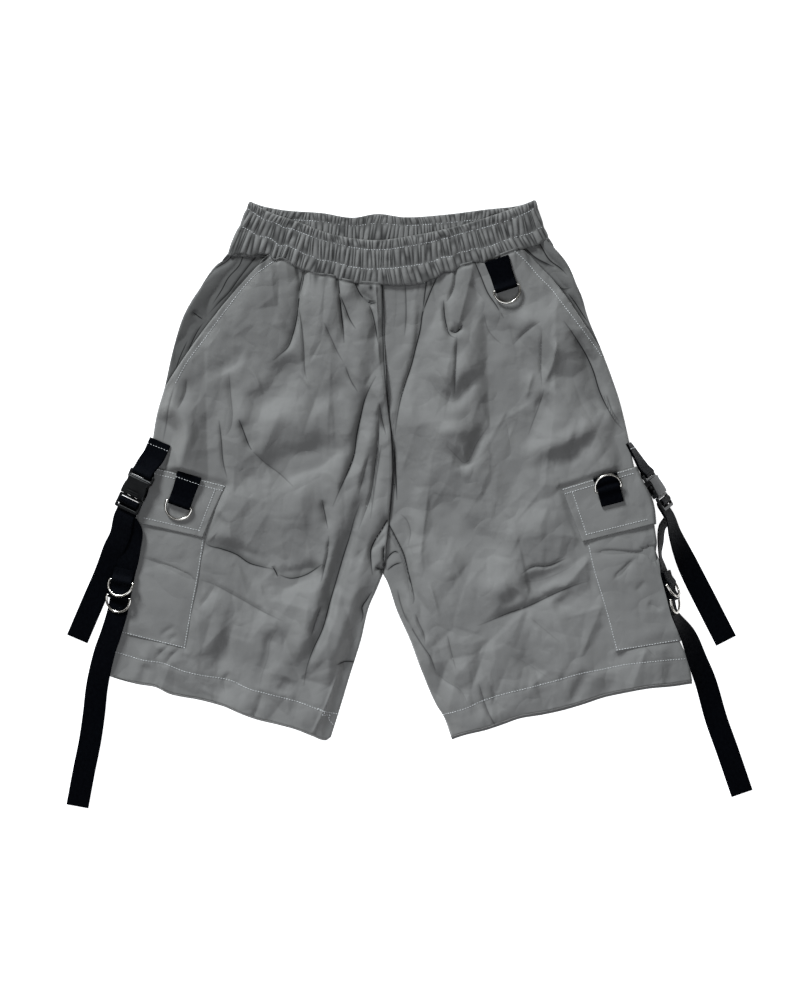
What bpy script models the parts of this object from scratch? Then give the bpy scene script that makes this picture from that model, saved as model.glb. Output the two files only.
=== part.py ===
"""Elastic-waist cargo shorts laid flat with the front up: panels, waistband, slant pockets, cargo pockets
wrapped round the side seams, webbing loops with D-rings, and a buckled strap at each side.

Metres, +Z up, the waist towards +Y, the underside at Z = 0. The tables are in millimetres, and left and
right are those of the viewer, -X and +X."""

import math
from collections import namedtuple

import bmesh
import bpy
import numpy as np
from mathutils import Matrix, Vector
from mathutils.bvhtree import BVHTree

MM = 0.001

# Walls and clearances
CLOTH = 1.2
BAND = 3.0  # elastic between two plies of cloth
WEBBING = 1.3
GAP = 0.3  # between pieces that lie on or against each other
SEAM = 0.6  # in plan, where two pieces meet edge to edge along a curve
CENTRE_GAP = 0.4
PUFF = 2.8  # how far the front stands off the back away from the folded edges
PUFF_REACH = 45.0  # distance from a folded edge at which the puff is full
FACING_PUFF = 1.2  # the same two sizes for the slant pockets' facings
FACING_PUFF_REACH = 20.0
POCKET_STEP = 3.15  # how far the wrapped pocket lifts the back panel

# Webbing, rings and buckles
STRAP_WIDTH = 25.0
LOOP_WIDTH = 28.0
LOOP_FOLD_WIDTH = 25.6  # pinched by the ring
WIRE = 2.6
RING_INNER = 26.8
RING_LEG = 3.0
RING_DEPTH = 17.0  # bar centre to the bottom of the arc's centre line
RING_CORNER = 1.2
BUCKLE_WIDTH = 32.0

# Folded webbing: a ply's middle from the loop's middle
PLY = WEBBING / 2 + GAP / 2  # where nothing parts the plies
BAR_PLY = WIRE / 2 + GAP + WEBBING / 2  # over a ring's bar
TAB_PLY = 3.3  # over the buckle's top bar
HUMP_REACH = 4.6  # how soon the plies come together beside a bar
RING_LOOP_ABOVE = 14.0  # from the upper ring's bar to the sewn end of the double rings' loop

# Buckle, in its own frame: Y is 0 at its top and runs down to PLUG_END, and Z is out of its face
TAB_BAR = -1.6  # middle of the bar that the tab goes round
SOCKET_END = -29.0
PLUG_END = -46.3
SOCKET_HALF = 4.6  # half its thickness
PLUG_HALF = 1.8
BAR_HALF = 1.6
SLOT_HALF = STRAP_WIDTH / 2 + 0.4
PLUG_TOP = SOCKET_END - 0.4

# Each half's outline on the right, as x and y from its top to its end
SOCKET_OUTLINE = [
    (BUCKLE_WIDTH / 2 - 1.2, 0),
    (BUCKLE_WIDTH / 2, -1.2),
    (BUCKLE_WIDTH / 2, -7),
    (BUCKLE_WIDTH / 2 - 2.6, -10),
    (BUCKLE_WIDTH / 2 - 3, -13),
    (BUCKLE_WIDTH / 2 - 1.6, -18),
    (BUCKLE_WIDTH / 2 - 1.2, SOCKET_END),
]
PLUG_OUTLINE = [
    (1.4, -15),  # guide tongue
    (1.4, PLUG_TOP),
    (7.6, PLUG_TOP),  # catch arm
    (8.6, -21),
    (8.8, -15),
    (10.6, -13.6),
    (12.9, -15.4),
    (12.9, -17.2),
    (11.2, -20),
    (10.6, PLUG_TOP),
    (BUCKLE_WIDTH / 2 - 0.9, PLUG_TOP),  # ladder
    (BUCKLE_WIDTH / 2 - 0.9, PLUG_END + 1.2),
    (BUCKLE_WIDTH / 2 - 2.1, PLUG_END),
]
SOCKET_TOP_SLOT = (-7.4, -3.2)  # from and to, in Y
CAVITY_HALF = (11.8, 2.7)  # across, and through
CAVITY_TOP = -11.5
WINDOW = (-24.0, -14.0)  # for pressing the arms, in Y
WINDOW_HALF = 3.1
LADDER_SLOTS = {"upper_slot": (-34.7, -32.0), "lower_slot": (-42.7, -38.3)}

# The strap's way up behind the buckle's ladder, over its middle bar and back out between its bars, as y and
# z in the buckle's frame
LADDER_WAY = [
    (-44.5, -4.7),
    (-39.0, -4.7),
    (-35.7, -4.05),
    (-33.75, -2.35),
    (-33.35, 0.0),
    (-33.45, 1.95),
    (-34.6, 3.2),
    (-36.5, 3.55),
    (-38.6, 2.95),
    (-39.9, 1.2),
    (-40.6, -0.6),
    (-41.4, -2.4),
    (-43.0, -3.1),
    (-45.2, -3.1),
]

LEAVING = (-50.0, -54.0)  # where both ends still follow the buckle

# How finely curves are sampled and faceted
EDGE_SAMPLES = 201
PROBES = 8  # spots round each point of a piece, where the height of what is under it is taken
FRONT_REACH = 16.0  # how far from the point those spots are
FACING_REACH = 4.0
BAG_REACH = 13.0
FLAP_REACH = 18.0
BAND_COLUMNS = (29, 37)  # back and front
FRONT_GRID = (16, 26)  # points across and down
FACING_GRID = (6, 11)
BAG_GRID = (6, 9)
FLAP_GRID = (6, 5)
WRAP_ANGLES = (36, 72, 108, 144)
ARC_STEPS = 11
WIRE_SIDES = 8
FOLD_STEPS = 7
COARSE_STOP = 11.0
TAB_STOPS = 13
TAIL_STOPS = 18
DOWN_STOPS = 50

Section = namedtuple("Section", "name inner_x inner_y outer_x outer_y")
Station = namedtuple("Station", "top_x top_y seam_x seam_y")
Fold = namedtuple("Fold", "x1 y1 x2 y2 width height")
Run = namedtuple("Run", "x y z roll")

# Front halves, one row a level: the inner edge is the centre seam and then the inseam, and the outer edge
# is the slant pocket's mouth and then the side seam.
FRONT_LEFT = [
    Section("waist", -31, 245, -157, 276),
    Section("mouth_high", -30, 221, -190, 247),
    Section("mouth_low", -29, 190, -223, 205),
    Section("mouth_end", -28, 152, -259, 155),
    Section("side_high", -26, 123, -275, 129),
    Section("tab", -21, 84, -285, 84),
    Section("flap_top", -19, 41, -290, 44),
    Section("bag_top", -20, 6, -297, -2),
    Section("flap_low", -22, -10, -300, -21),
    Section("crotch", -29, -76, -308, -67),
    Section("thigh", -45, -114, -315, -102),
    Section("bag_low", -61, -170, -324, -142),
    Section("hem_fold", -78, -227, -334, -174),
    Section("hem", -88, -259, -338, -190),
]
FRONT_RIGHT = [
    Section("waist", -31, 245, 124, 286),
    Section("mouth_high", -30, 221, 150, 261),
    Section("mouth_low", -29, 190, 176, 232),
    Section("mouth_end", -28, 152, 212, 177),
    Section("side_high", -26, 123, 229, 136),
    Section("tab", -21, 84, 242, 82),
    Section("flap_top", -19, 41, 249, 43),
    Section("bag_top", -20, 6, 264, -3),
    Section("flap_low", -22, -10, 268, -22),
    Section("crotch", -29, -76, 276, -67),
    Section("thigh", -11, -125, 286, -103),
    Section("bag_low", 6, -168, 299, -152),
    Section("hem_fold", 34, -230, 311, -178),
    Section("hem", 48, -260, 316, -197),
]
SIDE_ROWS = 4  # the front's rows from this one on reach the side seam

# The back's top rows, which run out to the side. Below them it has the front's rows.
BACK_TOP_LEFT = [
    Section("waist", -36, 274, -203, 277),
    Section("high", -31, 235, -237, 239),
    Section("hip", -29, 180, -262, 182),
]
BACK_TOP_RIGHT = [
    Section("waist", -36, 274, 154, 295),
    Section("high", -31, 235, 187, 245),
    Section("hip", -29, 180, 213, 180),
]
# The slant pockets' facings: the inner edge is tucked under the front, the outer edge is the side.
FACING_LEFT = [
    Section("top", -147, 271, -202, 276),
    Section("high", -179, 241, -219, 262),
    Section("middle", -212, 197, -246, 224),
    Section("low", -244, 156, -263, 177),
    Section("end", -259, 134, -273, 139),
]
FACING_RIGHT = [
    Section("top", 115, 281, 152, 293),
    Section("high", 141, 253, 175, 269),
    Section("middle", 167, 224, 191, 232),
    Section("low", 188, 195, 205, 194),
    Section("end", 207, 167, 216, 167),
]
# Hems from the inseam to the side seam, as x and y.
HEM_LEFT = [(-88, -259), (-94, -262), (-126, -251), (-170, -239), (-207, -225), (-283, -203), (-338, -190)]
HEM_RIGHT = [(48, -260), (86, -249), (124, -236), (171, -227), (218, -213), (269, -203), (316, -197)]
BACK_HEM_PEEK = 4.0  # the right leg's back hem shows below its front hem

# Waistband, from the left end to the right: its top edge and the seam under it.
BAND_FRONT = [
    Station(-179, 339, -204, 278),
    Station(-155, 327, -167, 278),
    Station(-128, 318, -142, 273),
    Station(-84, 302, -89, 255),
    Station(-36, 296, -36, 247),
    Station(2, 301, 5, 248),
    Station(38, 308, 44, 262),
    Station(73, 318, 82, 273),
    Station(107, 329, 118, 285),
    Station(141, 340, 155, 297),
]
BAND_BACK = [
    Station(-179, 339, -204, 278),
    Station(-139, 330, -156, 278),
    Station(-97, 327, -103, 275),
    Station(-61, 322, -63, 272),
    Station(-36, 326, -36, 274),
    Station(-11, 323, -10, 272),
    Station(23, 323, 26, 273),
    Station(57, 328, 63, 278),
    Station(98, 332, 108, 286),
    Station(141, 340, 155, 297),
]
BAND_FRONT_Z = 5.5  # height of each band's middle
BAND_BACK_Z = 1.5
BAND_BULGE = 0.5  # each channel of the front half is fuller than its stitch lines
BAND_ROWS = [(0, 0.5), (0.11, 1), (0.22, 0.2), (0.43, 1), (0.64, 0.2), (0.82, 1), (1, 0.4)]  # share, fullness

# The front's largest folds, as soft ridges (+) and troughs (-) along a line.
FOLDS = [
    Fold(-125, 255, -150, 140, 26, 3.0),
    Fold(-95, 240, -80, 120, 22, 2.6),
    Fold(-52, 235, -60, 60, 20, 3.2),
    Fold(-5, 240, -15, 90, 20, 3.0),
    Fold(30, 245, 5, 20, 20, -2.2),
    Fold(45, 240, 62, 130, 24, 3.2),
    Fold(90, 235, 150, 100, 30, 2.4),
    Fold(-55, 120, -90, -20, 26, 2.8),
    Fold(-70, -20, -110, -170, 30, 3.0),
    Fold(-30, 60, -70, -60, 18, -2.0),
    Fold(0, -20, 60, -190, 30, 2.8),
    Fold(60, 60, 130, -150, 40, 2.0),
    Fold(-150, 40, -190, 110, 36, 2.0),
]

# Cargo pockets: the inner corners of each bag and flap. Their outer edges wrap round the side seam.
Pocket = namedtuple("Pocket", "top_x top_y low_x low_y top_level low_level")
BAGS = {
    "left": Pocket(-226, -19, -250, -161, "bag_top", "bag_low"),
    "right": Pocket(191, -23, 230, -164, "bag_top", "bag_low"),
}
FLAPS = {
    "left": Pocket(-206, 21, -232, -37, "flap_top", "flap_low"),
    "right": Pocket(171, 20, 193, -41, "flap_top", "flap_low"),
}
STEP_MARGIN = 0.04  # of a panel's width or length, round the lifted patch
STEP_RAMP = 0.07
STEP_INNER = 0.66  # share of a panel's width from which it is lifted

# Webbing loops: where each is sewn, its end, and how far above the end the ring's bar sits.
Loop = namedtuple("Loop", "sewn_x sewn_y end_x end_y bar_above_end")
LOOPS = {
    "waist_loop": Loop(97, 275, 107.7, 242.5, 0),
    "flap_loop_left": Loop(-245, 34, -256.6, 0.7, 0),
    "flap_loop_right": Loop(218, 33, 226.3, 2.3, 15.5),
}

# Strap sets: the buckle's top with its direction and roll, the tab above it, and the strap below it. A
# strap goes up through the buckle's ladder and back out: one end hangs free from there, and the other runs
# down behind the double rings to its long end.
BUCKLES = {
    "left": (Run(-297.0, 36.0, 12.4, -20), (-20.0, -43.0)),
    "right": (Run(264.3, 35.8, 17.2, 62), (25.7, -42.5)),
}
TABS = {
    "left": [Run(-278.3, 71.0, 8.1, -3), Run(-285.6, 54.5, 10.2, -10)],
    "right": [Run(244.0, 69.0, 13.4, 76), Run(254.0, 53.0, 15.2, 68)],
}
# The bar of the lower ring, and the way down from the upper ring's bar to it.
RING_BARS = {
    "left": (Run(-324.4, -102.4, 11.4, -20), (-3.4, -17.2)),
    "right": (Run(295.0, -103.6, 16.4, 66), (4.3, -16.6)),
}
STANDING_RUNS = {
    "left": [
        Run(-309.5, -30, 9.6, -21),
        Run(-311.5, -48, 9.2, -20),
        Run(-314.5, -64, 8.6, -20),
    ],
    "right": [
        Run(281.4, -25, 15.4, 66),
        Run(279.8, -42, 14.6, 70),
        Run(279.4, -56, 14.6, 78),
        Run(282.2, -68, 15.0, 72),
    ],
}
LOWER_RUNS = {
    "left": [
        Run(-333.9, -144.5, 6.4, -18),
        Run(-341.0, -165, 5.0, -14),
        Run(-349.4, -201.6, 2.8, -7),
        Run(-353.4, -235, 1.2, -1),
        Run(-357.5, -263, 0.9, 0),
        Run(-364.5, -298, 0.9, 0),
        Run(-371.8, -337.4, 0.9, 0),
    ],
    "right": [
        Run(311.5, -146.7, 9.0, 38),
        Run(321.9, -173.6, 6.2, 24),
        Run(331.0, -197, 3.6, 12),
        Run(343.3, -239.5, 1.2, 1),
        Run(355.6, -274, 0.9, 0),
        Run(372.4, -323, 0.9, 0),
    ],
}
TAILS = {
    "left": [
        Run(-323.5, -34, 7.4, -18),
        Run(-330.5, -49, 4.8, -12),
        Run(-335.0, -62, 2.6, -5),
        Run(-341.0, -78, 1.2, 0),
        Run(-354.5, -109, 0.9, 0),
        Run(-372.0, -150, 0.9, 0),
    ],
    "right": [
        Run(295.5, -31, 12.4, 50),
        Run(301.5, -46, 9.2, 36),
        Run(313.0, -71, 4.6, 14),
        Run(334.0, -112, 1.2, 2),
        Run(354.5, -152, 0.9, 0),
    ],
}

# How far each ring is swung up from its loop's plane, in degrees
HANGING_TILT = -4
FLIPPED_TILT = 164
UPPER_RING_TILT = 16
LOWER_RING_TILT = -5

# Finishes: colour, roughness and metallic value.
CLOTH_GREY = ((0.165, 0.17, 0.172), 0.5, 0.0)
WEBBING_BLACK = ((0.006, 0.006, 0.009), 0.75, 0.0)
BUCKLE_BLACK = ((0.01, 0.01, 0.011), 0.35, 0.0)
NICKEL = ((0.62, 0.6, 0.57), 0.22, 1.0)


def clear_scene():
    for obj in list(bpy.data.objects):
        bpy.data.objects.remove(obj, do_unlink=True)


def finish(name, look):
    colour, roughness, metallic = look
    material = bpy.data.materials.new(name)
    material.use_nodes = True
    shader = material.node_tree.nodes["Principled BSDF"]
    shader.inputs["Base Color"].default_value = (*colour, 1.0)
    shader.inputs["Roughness"].default_value = roughness
    shader.inputs["Metallic"].default_value = metallic
    return material


def add_object(name, points, faces, look, frame=None):
    """An object from points in millimetres, with its faces turned outwards, placed by its frame."""
    body = bmesh.new()
    vertices = [body.verts.new(Vector(point) * MM) for point in points]
    for face in faces:
        body.faces.new([vertices[i] for i in face])
    bmesh.ops.recalc_face_normals(body, faces=body.faces)
    mesh = bpy.data.meshes.new(name)
    body.to_mesh(mesh)
    body.free()
    mesh.materials.append(finish(name, look))
    obj = bpy.data.objects.new(name, mesh)
    bpy.context.scene.collection.objects.link(obj)
    if frame:
        obj.matrix_world = Matrix.Translation(frame.translation * MM) @ frame.to_3x3().to_4x4()
    return obj


# Curves and patches


def spline(points, count):
    """A smooth line through points, as count points evenly spaced along its plan."""
    points = np.asarray(points, float)
    steps = np.linalg.norm(np.diff(points[:, :2], axis=0), axis=1)
    knots = np.concatenate([[0], np.cumsum(steps)])
    slopes = np.empty_like(points)
    secants = np.diff(points, axis=0) / np.diff(knots)[:, None]
    slopes[0] = secants[0]
    slopes[-1] = secants[-1]
    slopes[1:-1] = (secants[:-1] + secants[1:]) / 2
    at = np.linspace(0, knots[-1], count)
    span = np.clip(np.searchsorted(knots, at, side="right") - 1, 0, len(knots) - 2)
    length = (knots[span + 1] - knots[span])[:, None]
    s = ((at - knots[span]) / length[:, 0])[:, None]
    return (
        (2 * s**3 - 3 * s**2 + 1) * points[span]
        + (s**3 - 2 * s**2 + s) * length * slopes[span]
        + (3 * s**2 - 2 * s**3) * points[span + 1]
        + (s**3 - s**2) * length * slopes[span + 1]
    )


class Sheet:
    """A flat piece's plan: read at (u, v), u from its inner to its outer edge and v from top to bottom."""

    def __init__(self, sections, top=None, bottom=None):
        rows = np.array([row[1:] for row in sections], float)
        middle = (rows[:, :2] + rows[:, 2:]) / 2
        steps = np.linalg.norm(np.diff(middle, axis=0), axis=1)
        self.levels = np.concatenate([[0], np.cumsum(steps)]) / steps.sum()
        self.names = [row.name for row in sections]
        self.rows = rows
        self.bows = [self.bow(top, rows[0]), self.bow(bottom, rows[-1])]

    @staticmethod
    def bow(edge, row):
        """How far an edge leaves the straight line between its corners, all along it."""
        if edge is None:
            return np.zeros((EDGE_SAMPLES, 2))
        share = np.linspace(0, 1, EDGE_SAMPLES)[:, None]
        return spline(edge, EDGE_SAMPLES) - (row[:2] * (1 - share) + row[2:] * share)

    def level(self, name):
        return self.levels[self.names.index(name)]

    def edge(self, v, first):
        """A point of the inner edge (first = 0) or the outer edge (first = 2) at level v."""
        corner = self.names.index("crotch") if "crotch" in self.names and first == 0 else 0
        xs, ys, levels = [], [], []
        for start, stop in ((0, corner + 1), (corner, len(self.names))):
            if stop - start < 2:
                continue
            corners = self.rows[start:stop, first : first + 2]
            line = spline(corners, EDGE_SAMPLES)
            steps = np.linalg.norm(np.diff(corners, axis=0), axis=1)
            reached = np.concatenate([[0], np.cumsum(steps)])
            share = np.interp(np.linspace(0, reached[-1], EDGE_SAMPLES), reached, self.levels[start:stop])
            xs += list(line[:, 0])
            ys += list(line[:, 1])
            levels += list(share)
        return np.array([np.interp(v, levels, xs), np.interp(v, levels, ys)])

    def points(self, us, vs):
        """Rows of plan points, one row for each v."""
        inner = self.edge(vs, 0).T[:, None, :]
        outer = self.edge(vs, 2).T[:, None, :]
        u = np.asarray(us)[None, :, None]
        v = np.asarray(vs)[:, None, None]
        share = np.linspace(0, 1, EDGE_SAMPLES)
        top, bottom = (
            np.stack([np.interp(us, share, bow[:, k]) for k in (0, 1)], axis=1)[None] for bow in self.bows
        )
        return inner * (1 - u) + outer * u + top * (1 - v) ** 3 + bottom * v**3


def smoothstep(share):
    share = np.clip(share, 0, 1)
    return share * share * (3 - 2 * share)


# Solids


def wall_faces(rows, columns):
    """Triangles of a closed wall whose upper and lower grids have this many rows and columns of points."""
    lower = rows * columns
    faces = []
    for r in range(rows - 1):
        for c in range(columns - 1):
            a = r * columns + c
            b, d, e = a + 1, a + columns, a + columns + 1
            faces += [(a, b, e), (a, e, d)]
            faces += [(a + lower, e + lower, b + lower), (a + lower, d + lower, e + lower)]
    rim = [(0, c) for c in range(columns)] + [(r, columns - 1) for r in range(1, rows)]
    rim += [(rows - 1, c) for c in range(columns - 2, -1, -1)] + [(r, 0) for r in range(rows - 2, 0, -1)]
    ids = [r * columns + c for r, c in rim]
    for a, b in zip(ids, ids[1:] + ids[:1]):
        faces += [(a, a + lower, b + lower), (a, b + lower, b)]
    return faces


def add_wall(name, upper, lower, look):
    """A closed cloth wall between two grids of points."""
    rows, columns = upper.shape[:2]
    points = np.concatenate([upper.reshape(-1, 3), lower.reshape(-1, 3)])
    return add_object(name, points, wall_faces(rows, columns), look)


def grid_normals(grid):
    across = np.gradient(grid, axis=1)
    down = np.gradient(grid, axis=0)
    normals = np.cross(down, across)
    return normals / np.linalg.norm(normals, axis=2, keepdims=True)


def tree_of(*objects):
    """A ray target of these objects' meshes, in millimetres."""
    points, faces = [], []
    for obj in objects:
        start = len(points)
        points += [vertex.co / MM for vertex in obj.data.vertices]
        faces += [[start + i for i in polygon.vertices] for polygon in obj.data.polygons]
    return BVHTree.FromPolygons(points, faces)


def height_over(tree, x, y, reach):
    """The highest point of the target within reach of (x, y), or 0 where there is none."""
    spots = [(x, y)]
    for radius in (0.5 * reach, reach):
        for angle in np.linspace(0, math.tau, PROBES, endpoint=False):
            spots.append((x + radius * math.cos(angle), y + radius * math.sin(angle)))
    best = 0.0
    for spot_x, spot_y in spots:
        hit = tree.ray_cast(Vector((spot_x, spot_y, 100)), Vector((0, 0, -1)))
        if hit[0] is not None:
            best = max(best, hit[0].z)
    return best


def drape(plan, tree, reach, lift):
    """Heights for a grid of plan points that lies on a target, lift(x, y) above it."""
    return np.array([[height_over(tree, x, y, reach) + lift(x, y) for x, y in row] for row in plan])


def grid_of(counts):
    return [np.linspace(0, 1, count) for count in counts]


def with_height(plan, z):
    return np.concatenate([plan, z[..., None]], axis=2)


# Cloth panels


def band_line(stations, share, t):
    """Points of the band at a share of its width (0 at the top edge, 1 at the seam), at positions t."""
    table = np.array(stations, float)
    line = spline(table[:, :2] * (1 - share) + table[:, 2:] * share, EDGE_SAMPLES)
    along = np.linspace(0, 1, EDGE_SAMPLES)
    return np.stack([np.interp(t, along, line[:, 0]), np.interp(t, along, line[:, 1])], axis=1)


def make_band(name, stations, middle_z, columns, bulge):
    """A waistband half in three channels, each fuller than the stitch lines between them."""
    t = np.linspace(0, 1, columns)
    plan = np.stack([band_line(stations, share, t) for share, _ in BAND_ROWS])
    half = np.array([BAND / 2 + bulge * (full - 1) for _, full in BAND_ROWS])
    upper = with_height(plan, np.repeat((middle_z + half)[:, None], columns, axis=1))
    lower = with_height(plan, np.repeat((middle_z - half)[:, None], columns, axis=1))
    return add_wall(name, upper, lower, CLOTH_GREY)


def waist_edge(stations, inner_x, outer_x):
    """The waist seam between two x positions, a seam's gap below the band."""
    line = band_line(stations, 1.0, np.linspace(0, 1, EDGE_SAMPLES))
    xs = np.linspace(inner_x, outer_x, 9)
    return [(x, np.interp(x, line[:, 0], line[:, 1]) - SEAM) for x in xs]


def with_waist(sections, edge):
    return [Section(sections[0].name, *edge[0], *edge[-1])] + sections[1:]


def beside_centre(sections, side):
    """Moves the inner edge off the centre seam's line."""
    return [row._replace(inner_x=row.inner_x + side * CENTRE_GAP / 2) for row in sections]


def make_back(side, top_rows, front_rows, hem, sign):
    """A back panel: flat on the surface, and stepped up over the wrapped half of the cargo pocket."""
    rows = beside_centre(top_rows + front_rows[SIDE_ROWS:], sign)
    edge = waist_edge(BAND_BACK, rows[0].inner_x, rows[0].outer_x)
    sheet = Sheet(with_waist(rows, edge), edge, hem)
    top = sheet.level("flap_top") - STEP_MARGIN
    low = sheet.level("bag_low") + STEP_MARGIN
    foot = STEP_INNER - STEP_RAMP
    us = np.concatenate([np.linspace(0, foot, 5), np.linspace(STEP_INNER, 1, 5)])
    vs = np.concatenate(
        [np.linspace(0, top - STEP_RAMP, 6), np.linspace(top, low, 7), [0.5 * (low + 1), 1.0]]
    )
    plan = sheet.points(us, vs)
    raised_v = np.interp(vs, [0, top - STEP_RAMP, top, low, 1], [0, 0, 1, 1, 0])
    raised_u = np.interp(us, [0, foot, STEP_INNER, 1], [0, 0, 1, 1])
    under = POCKET_STEP * raised_v[:, None] * raised_u[None, :]
    return add_wall(
        f"back_{side}", with_height(plan, under + CLOTH), with_height(plan, under), CLOTH_GREY
    )


def edge_distance(x, y):
    """Distance in plan to the nearest folded edge: a side seam, or an inseam below the crotch."""
    nearest = np.inf
    for rows in (BACK_TOP_LEFT + FRONT_LEFT[SIDE_ROWS:], BACK_TOP_RIGHT + FRONT_RIGHT[SIDE_ROWS:]):
        table = np.array([row[1:] for row in rows], float)
        names = [row.name for row in rows]
        inseam = table[names.index("crotch") :, :2]
        for line in (table[:, 2:], inseam):
            nearest = min(nearest, polyline_distance(line, x, y))
    return nearest


def polyline_distance(line, x, y):
    start, end = line[:-1], line[1:]
    along = end - start
    spot = np.array([x, y]) - start
    share = np.clip((spot * along).sum(1) / (along**2).sum(1), 0, 1)
    return np.sqrt(((spot - share[:, None] * along) ** 2).sum(1)).min()


def fold_height(x, y):
    total = 0.0
    for fold in FOLDS:
        along = np.array([fold.x2 - fold.x1, fold.y2 - fold.y1], float)
        length = np.linalg.norm(along)
        spot = np.array([x - fold.x1, y - fold.y1])
        share = spot @ along / length**2
        across = abs(spot[0] * along[1] - spot[1] * along[0]) / length
        ends = smoothstep((share + 0.1) / 0.3) * smoothstep((1.1 - share) / 0.3)
        total += fold.height * ends * math.exp(-((2 * across / fold.width) ** 2))
    return total


def front_lift(x, y):
    """How far the front's upper face lies above what is under it."""
    full = float(smoothstep(edge_distance(x, y) / PUFF_REACH))
    return GAP + CLOTH + full * (PUFF + fold_height(x, y))


def facing_lift(x, y):
    return GAP + CLOTH + FACING_PUFF * float(smoothstep(edge_distance(x, y) / FACING_PUFF_REACH))


def make_facing(side, rows, tree):
    edge = waist_edge(BAND_FRONT, rows[0].inner_x, rows[0].outer_x)
    sheet = Sheet(with_waist(rows, edge), edge)
    plan = sheet.points(*grid_of(FACING_GRID))
    top = np.maximum(drape(plan, tree, FACING_REACH, facing_lift), 2 * CLOTH + GAP)
    return add_wall(
        f"pocket_facing_{side}", with_height(plan, top), with_height(plan, top - CLOTH), CLOTH_GREY
    )


def make_front(side, sections, hem, sign, tree):
    rows = beside_centre(sections, sign)
    edge = waist_edge(BAND_FRONT, rows[0].inner_x, rows[0].outer_x)
    sheet = Sheet(with_waist(rows, edge), edge, hem)
    plan = sheet.points(*grid_of(FRONT_GRID))
    top = drape(plan, tree, FRONT_REACH, front_lift)
    obj = add_wall(f"front_{side}", with_height(plan, top), with_height(plan, top - CLOTH), CLOTH_GREY)
    return obj, sheet


def make_wrapped(name, pocket, sheet, tree, back_z, grid_counts, reach):
    """A pocket piece that lies on the front panel and turns round the side seam to the back."""
    us, share = grid_of(grid_counts)
    start, stop = sheet.level(pocket.top_level), sheet.level(pocket.low_level)
    outer = sheet.edge(start + (stop - start) * share, 2).T
    corners = np.array([[pocket.top_x, pocket.top_y], [pocket.low_x, pocket.low_y]])
    inner = corners[0] + (corners[1] - corners[0]) * share[:, None]
    front = inner[:, None] + (outer - inner)[:, None] * us[None, :, None]
    top = drape(front, tree, reach, lambda x, y: GAP + CLOTH / 2)
    down = np.gradient(outer, axis=0)
    out = np.stack([down[:, 1], -down[:, 0]], axis=1)
    out /= np.linalg.norm(out, axis=1, keepdims=True)
    out *= np.sign((out * (outer - inner)).sum(1, keepdims=True))
    middle_z = (top[:, -1] + back_z) / 2
    radius = (top[:, -1] - back_z) / 2
    turn = []
    for angle in np.radians(WRAP_ANGLES):
        spot = outer + out * (radius * math.sin(angle))[:, None]
        turn.append(np.concatenate([spot, (middle_z + radius * math.cos(angle))[:, None]], axis=1))
    back = with_height(front[:, ::-1], np.full(front.shape[:2], back_z))
    grid = np.concatenate([with_height(front, top), np.stack(turn, axis=1), back], axis=1)
    normals = grid_normals(grid)
    return add_wall(name, grid + normals * CLOTH / 2, grid - normals * CLOTH / 2, CLOTH_GREY)


# Webbing


def frame_along(centre, down, roll):
    """A webbing's frame: X across it, Y back up it, Z out of its face. A positive roll lifts its -X edge."""
    level = down.cross(Vector((0, 0, 1))).normalized()
    across = Matrix.Rotation(-math.radians(roll), 3, down) @ -level
    frame = Matrix((across, -down, across.cross(-down))).transposed().to_4x4()
    frame.translation = centre
    return frame


def frame_at(x, y, z, direction, roll):
    """The frame of something that lies level and points down this direction in plan."""
    down = Vector((direction[0], direction[1], 0)).normalized()
    return frame_along(Vector((x, y, z)), down, roll)


def run_frames(runs, count):
    """Frames along a smooth run of webbing, with the distance of each from the start."""
    line = spline([tuple(run) for run in runs], count)
    tangents = np.gradient(line[:, :3], axis=0)
    frames = [
        frame_along(Vector(row[:3]), Vector(tangent).normalized(), row[3])
        for row, tangent in zip(line, tangents)
    ]
    steps = np.linalg.norm(np.diff(line[:, :3], axis=0), axis=1)
    return frames, np.concatenate([[0], np.cumsum(steps)])


def add_strip(name, centres, acrosses, widths):
    """A flat strip of webbing swept along its centre line."""
    centres = np.array([tuple(centre) for centre in centres])
    acrosses = np.array([tuple(across) for across in acrosses])
    tangents = np.gradient(centres, axis=0)
    faces_out = np.cross(acrosses, tangents)
    faces_out /= np.linalg.norm(faces_out, axis=1, keepdims=True)
    half = np.asarray(widths, float)[:, None] / 2
    edge = np.stack([centres - acrosses * half, centres + acrosses * half], axis=1)
    shift = faces_out[:, None] * WEBBING / 2
    add_wall(name, edge + shift, edge - shift, WEBBING_BLACK)


def hump(distance, bars):
    """How far the plies part, from 0 to 1, at a distance along a loop with bars through it."""
    return max(math.exp(-(((distance - bar) / HUMP_REACH) ** 2)) for bar in bars)


def stops_along(length, bars):
    """Distances along a loop: close together by its bars, and up to COARSE_STOP apart between them."""
    near = [bar + step for bar in bars for step in (-7.5, -5, -3, -1.5, 0, 1.5, 3, 5, 7.5)]
    inside = {stop for stop in near if 2 < stop < length - 1}
    filled = [0.0]
    for stop in sorted(inside | {length}):
        pieces = max(1, math.ceil((stop - filled[-1]) / COARSE_STOP))
        filled += list(np.linspace(filled[-1], stop, pieces + 1)[1:])
    return np.array(filled)



def half_turn(frame, radius):
    """Centres round a fold, from the face side to the other, at the end of a loop."""
    angles = np.linspace(0, math.pi, FOLD_STEPS + 1)[1:-1]
    return [frame @ Vector((0, -radius * math.sin(a), radius * math.cos(a))) for a in angles]


def across_of(frame):
    return frame.to_3x3() @ Vector((1, 0, 0))


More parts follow.
